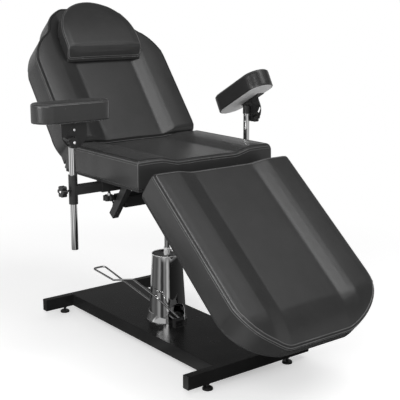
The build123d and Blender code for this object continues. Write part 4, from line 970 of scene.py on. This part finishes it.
def heading_stripes(tree, spot, distance):
    """Light and dark sectors round the chair, near and far, as a studio's lamps and dark cards give."""
    split = add(tree, "ShaderNodeSeparateXYZ")
    wire(tree, spot, "Object", split, "Vector")
    heading = maths(tree, "ARCTAN2")
    wire(tree, split, "Y", heading, 0)
    wire(tree, split, "X", heading, 1)
    share = add(tree, "ShaderNodeMapRange", From_Min=-pi, From_Max=pi)
    wire(tree, heading, "Value", share, "Value")
    change = add(tree, "ShaderNodeMapRange", From_Min=STRIPES_CHANGE[0], From_Max=STRIPES_CHANGE[1])
    wire(tree, distance, "Value", change, "Value")
    both = add(tree, "ShaderNodeMixRGB")
    wire(tree, change, "Result", both, "Fac")
    for table, socket in ((STRIPES, "Color1"), (FAR_STRIPES, "Color2")):
        stripes = ramp(tree, table)
        wire(tree, share, "Result", stripes, "Fac")
        wire(tree, stripes, "Color", both, socket)
    return both


def stage_floor():
    """A plain pale floor, white for the camera but for the shadow, that shows sectors in reflections."""
    size = FLOOR_SIZE
    corners = [(-size, -size, 0), (size, -size, 0), (size, size, 0), (-size, size, 0)]
    mesh = bpy.data.meshes.new("floor")
    mesh.from_pydata(corners, [], [(0, 1, 2, 3)])
    floor = link(bpy.data.objects.new("floor", mesh))
    material, tree, shader = new_material("floor")
    shader.inputs["Base Color"].default_value = (FLOOR_GREY, FLOOR_GREY, FLOOR_GREY, 1)
    shader.inputs["Roughness"].default_value = FLOOR_ROUGHNESS
    shader.inputs["Specular IOR Level"].default_value = FLOOR_SPECULAR
    shader.inputs["Emission Color"].default_value = (1, 1, 1, 1)
    path = add(tree, "ShaderNodeLightPath")
    lift = maths(tree, "MULTIPLY")
    lift.inputs[1].default_value = FLOOR_LIFT
    wire(tree, path, "Is Camera Ray", lift, 0)
    wire(tree, lift, "Value", shader, "Emission Strength")
    spot = add(tree, "ShaderNodeTexCoord")
    distance = add(tree, "ShaderNodeVectorMath")
    distance.operation = "LENGTH"
    wire(tree, spot, "Object", distance, 0)
    fade = add(tree, "ShaderNodeMapRange", From_Min=FLOOR_CLEAR[0], From_Max=FLOOR_CLEAR[1])
    fade.interpolation_type = "SMOOTHSTEP"
    wire(tree, distance, "Value", fade, "Value")
    far = maths(tree, "MULTIPLY")
    wire(tree, fade, "Result", far, 0)
    wire(tree, path, "Is Camera Ray", far, 1)
    white = add(tree, "ShaderNodeEmission")
    clean = mixed(tree, far, "Value", shader, white)
    mirrored = add(tree, "ShaderNodeEmission")
    wire(tree, heading_stripes(tree, spot, distance), "Color", mirrored, "Color")
    kind = mixed(tree, path, "Is Glossy Ray", clean, mirrored)
    wire(tree, kind, "Shader", tree.nodes["Material Output"], "Surface")
    mesh.materials.append(material)


def studio():
    """A world that is white for the camera, dim in reflections, and lights the chair evenly."""
    world = bpy.data.worlds.new("studio")
    bpy.context.scene.world = world
    world.use_nodes = True
    tree = world.node_tree
    background = tree.nodes["Background"]
    background.inputs["Color"].default_value = (1, 1, 1, 1)
    path = add(tree, "ShaderNodeLightPath")
    seen = maths(tree, "MAXIMUM")
    wire(tree, path, "Is Camera Ray", seen, 0)
    wire(tree, path, "Is Transmission Ray", seen, 1)
    way = add(tree, "ShaderNodeTexCoord")
    split = add(tree, "ShaderNodeSeparateXYZ")
    wire(tree, way, "Generated", split, "Vector")
    mirrored = add(tree, "ShaderNodeMapRange", From_Min=HORIZON_FADE[0], From_Max=HORIZON_FADE[1],
                   To_Min=HORIZON_MIRRORED, To_Max=WORLD_MIRRORED)
    mirrored.interpolation_type = "SMOOTHSTEP"
    wire(tree, split, "Z", mirrored, "Value")
    ambient = add(tree, "ShaderNodeMix", A=WORLD_AMBIENT)
    wire(tree, path, "Is Glossy Ray", ambient, "Factor")
    wire(tree, mirrored, "Result", ambient, "B")
    strength = add(tree, "ShaderNodeMix", B=1.0)
    wire(tree, seen, "Value", strength, "Factor")
    wire(tree, ambient, "Result", strength, "A")
    wire(tree, strength, "Result", background, "Strength")


def lamp(name, place, target, width, height, power):
    """A soft rectangular lamp that faces a point."""
    light = bpy.data.lights.new(name, "AREA")
    light.shape = "RECTANGLE"
    light.size = width
    light.size_y = height
    light.energy = power
    obj = link(bpy.data.objects.new(name, light))
    obj.location = place
    obj.rotation_euler = (Vector(target) - Vector(place)).to_track_quat("-Z", "Y").to_euler()


def camera():
    """The photograph's camera."""
    data = bpy.data.cameras.new("camera")
    data.lens = CAMERA_LENS
    data.sensor_width = SENSOR
    obj = link(bpy.data.objects.new("camera", data))
    obj.location = CAMERA_PLACE
    obj.rotation_euler = (pi / 2 - CAMERA_DOWN, 0, CAMERA_HEADING)
    bpy.context.scene.camera = obj


stage_floor()
studio()
for name, numbers in LAMPS.items():
    lamp(name, *numbers)
camera()
bpy.context.scene.view_settings.view_transform = "Standard"
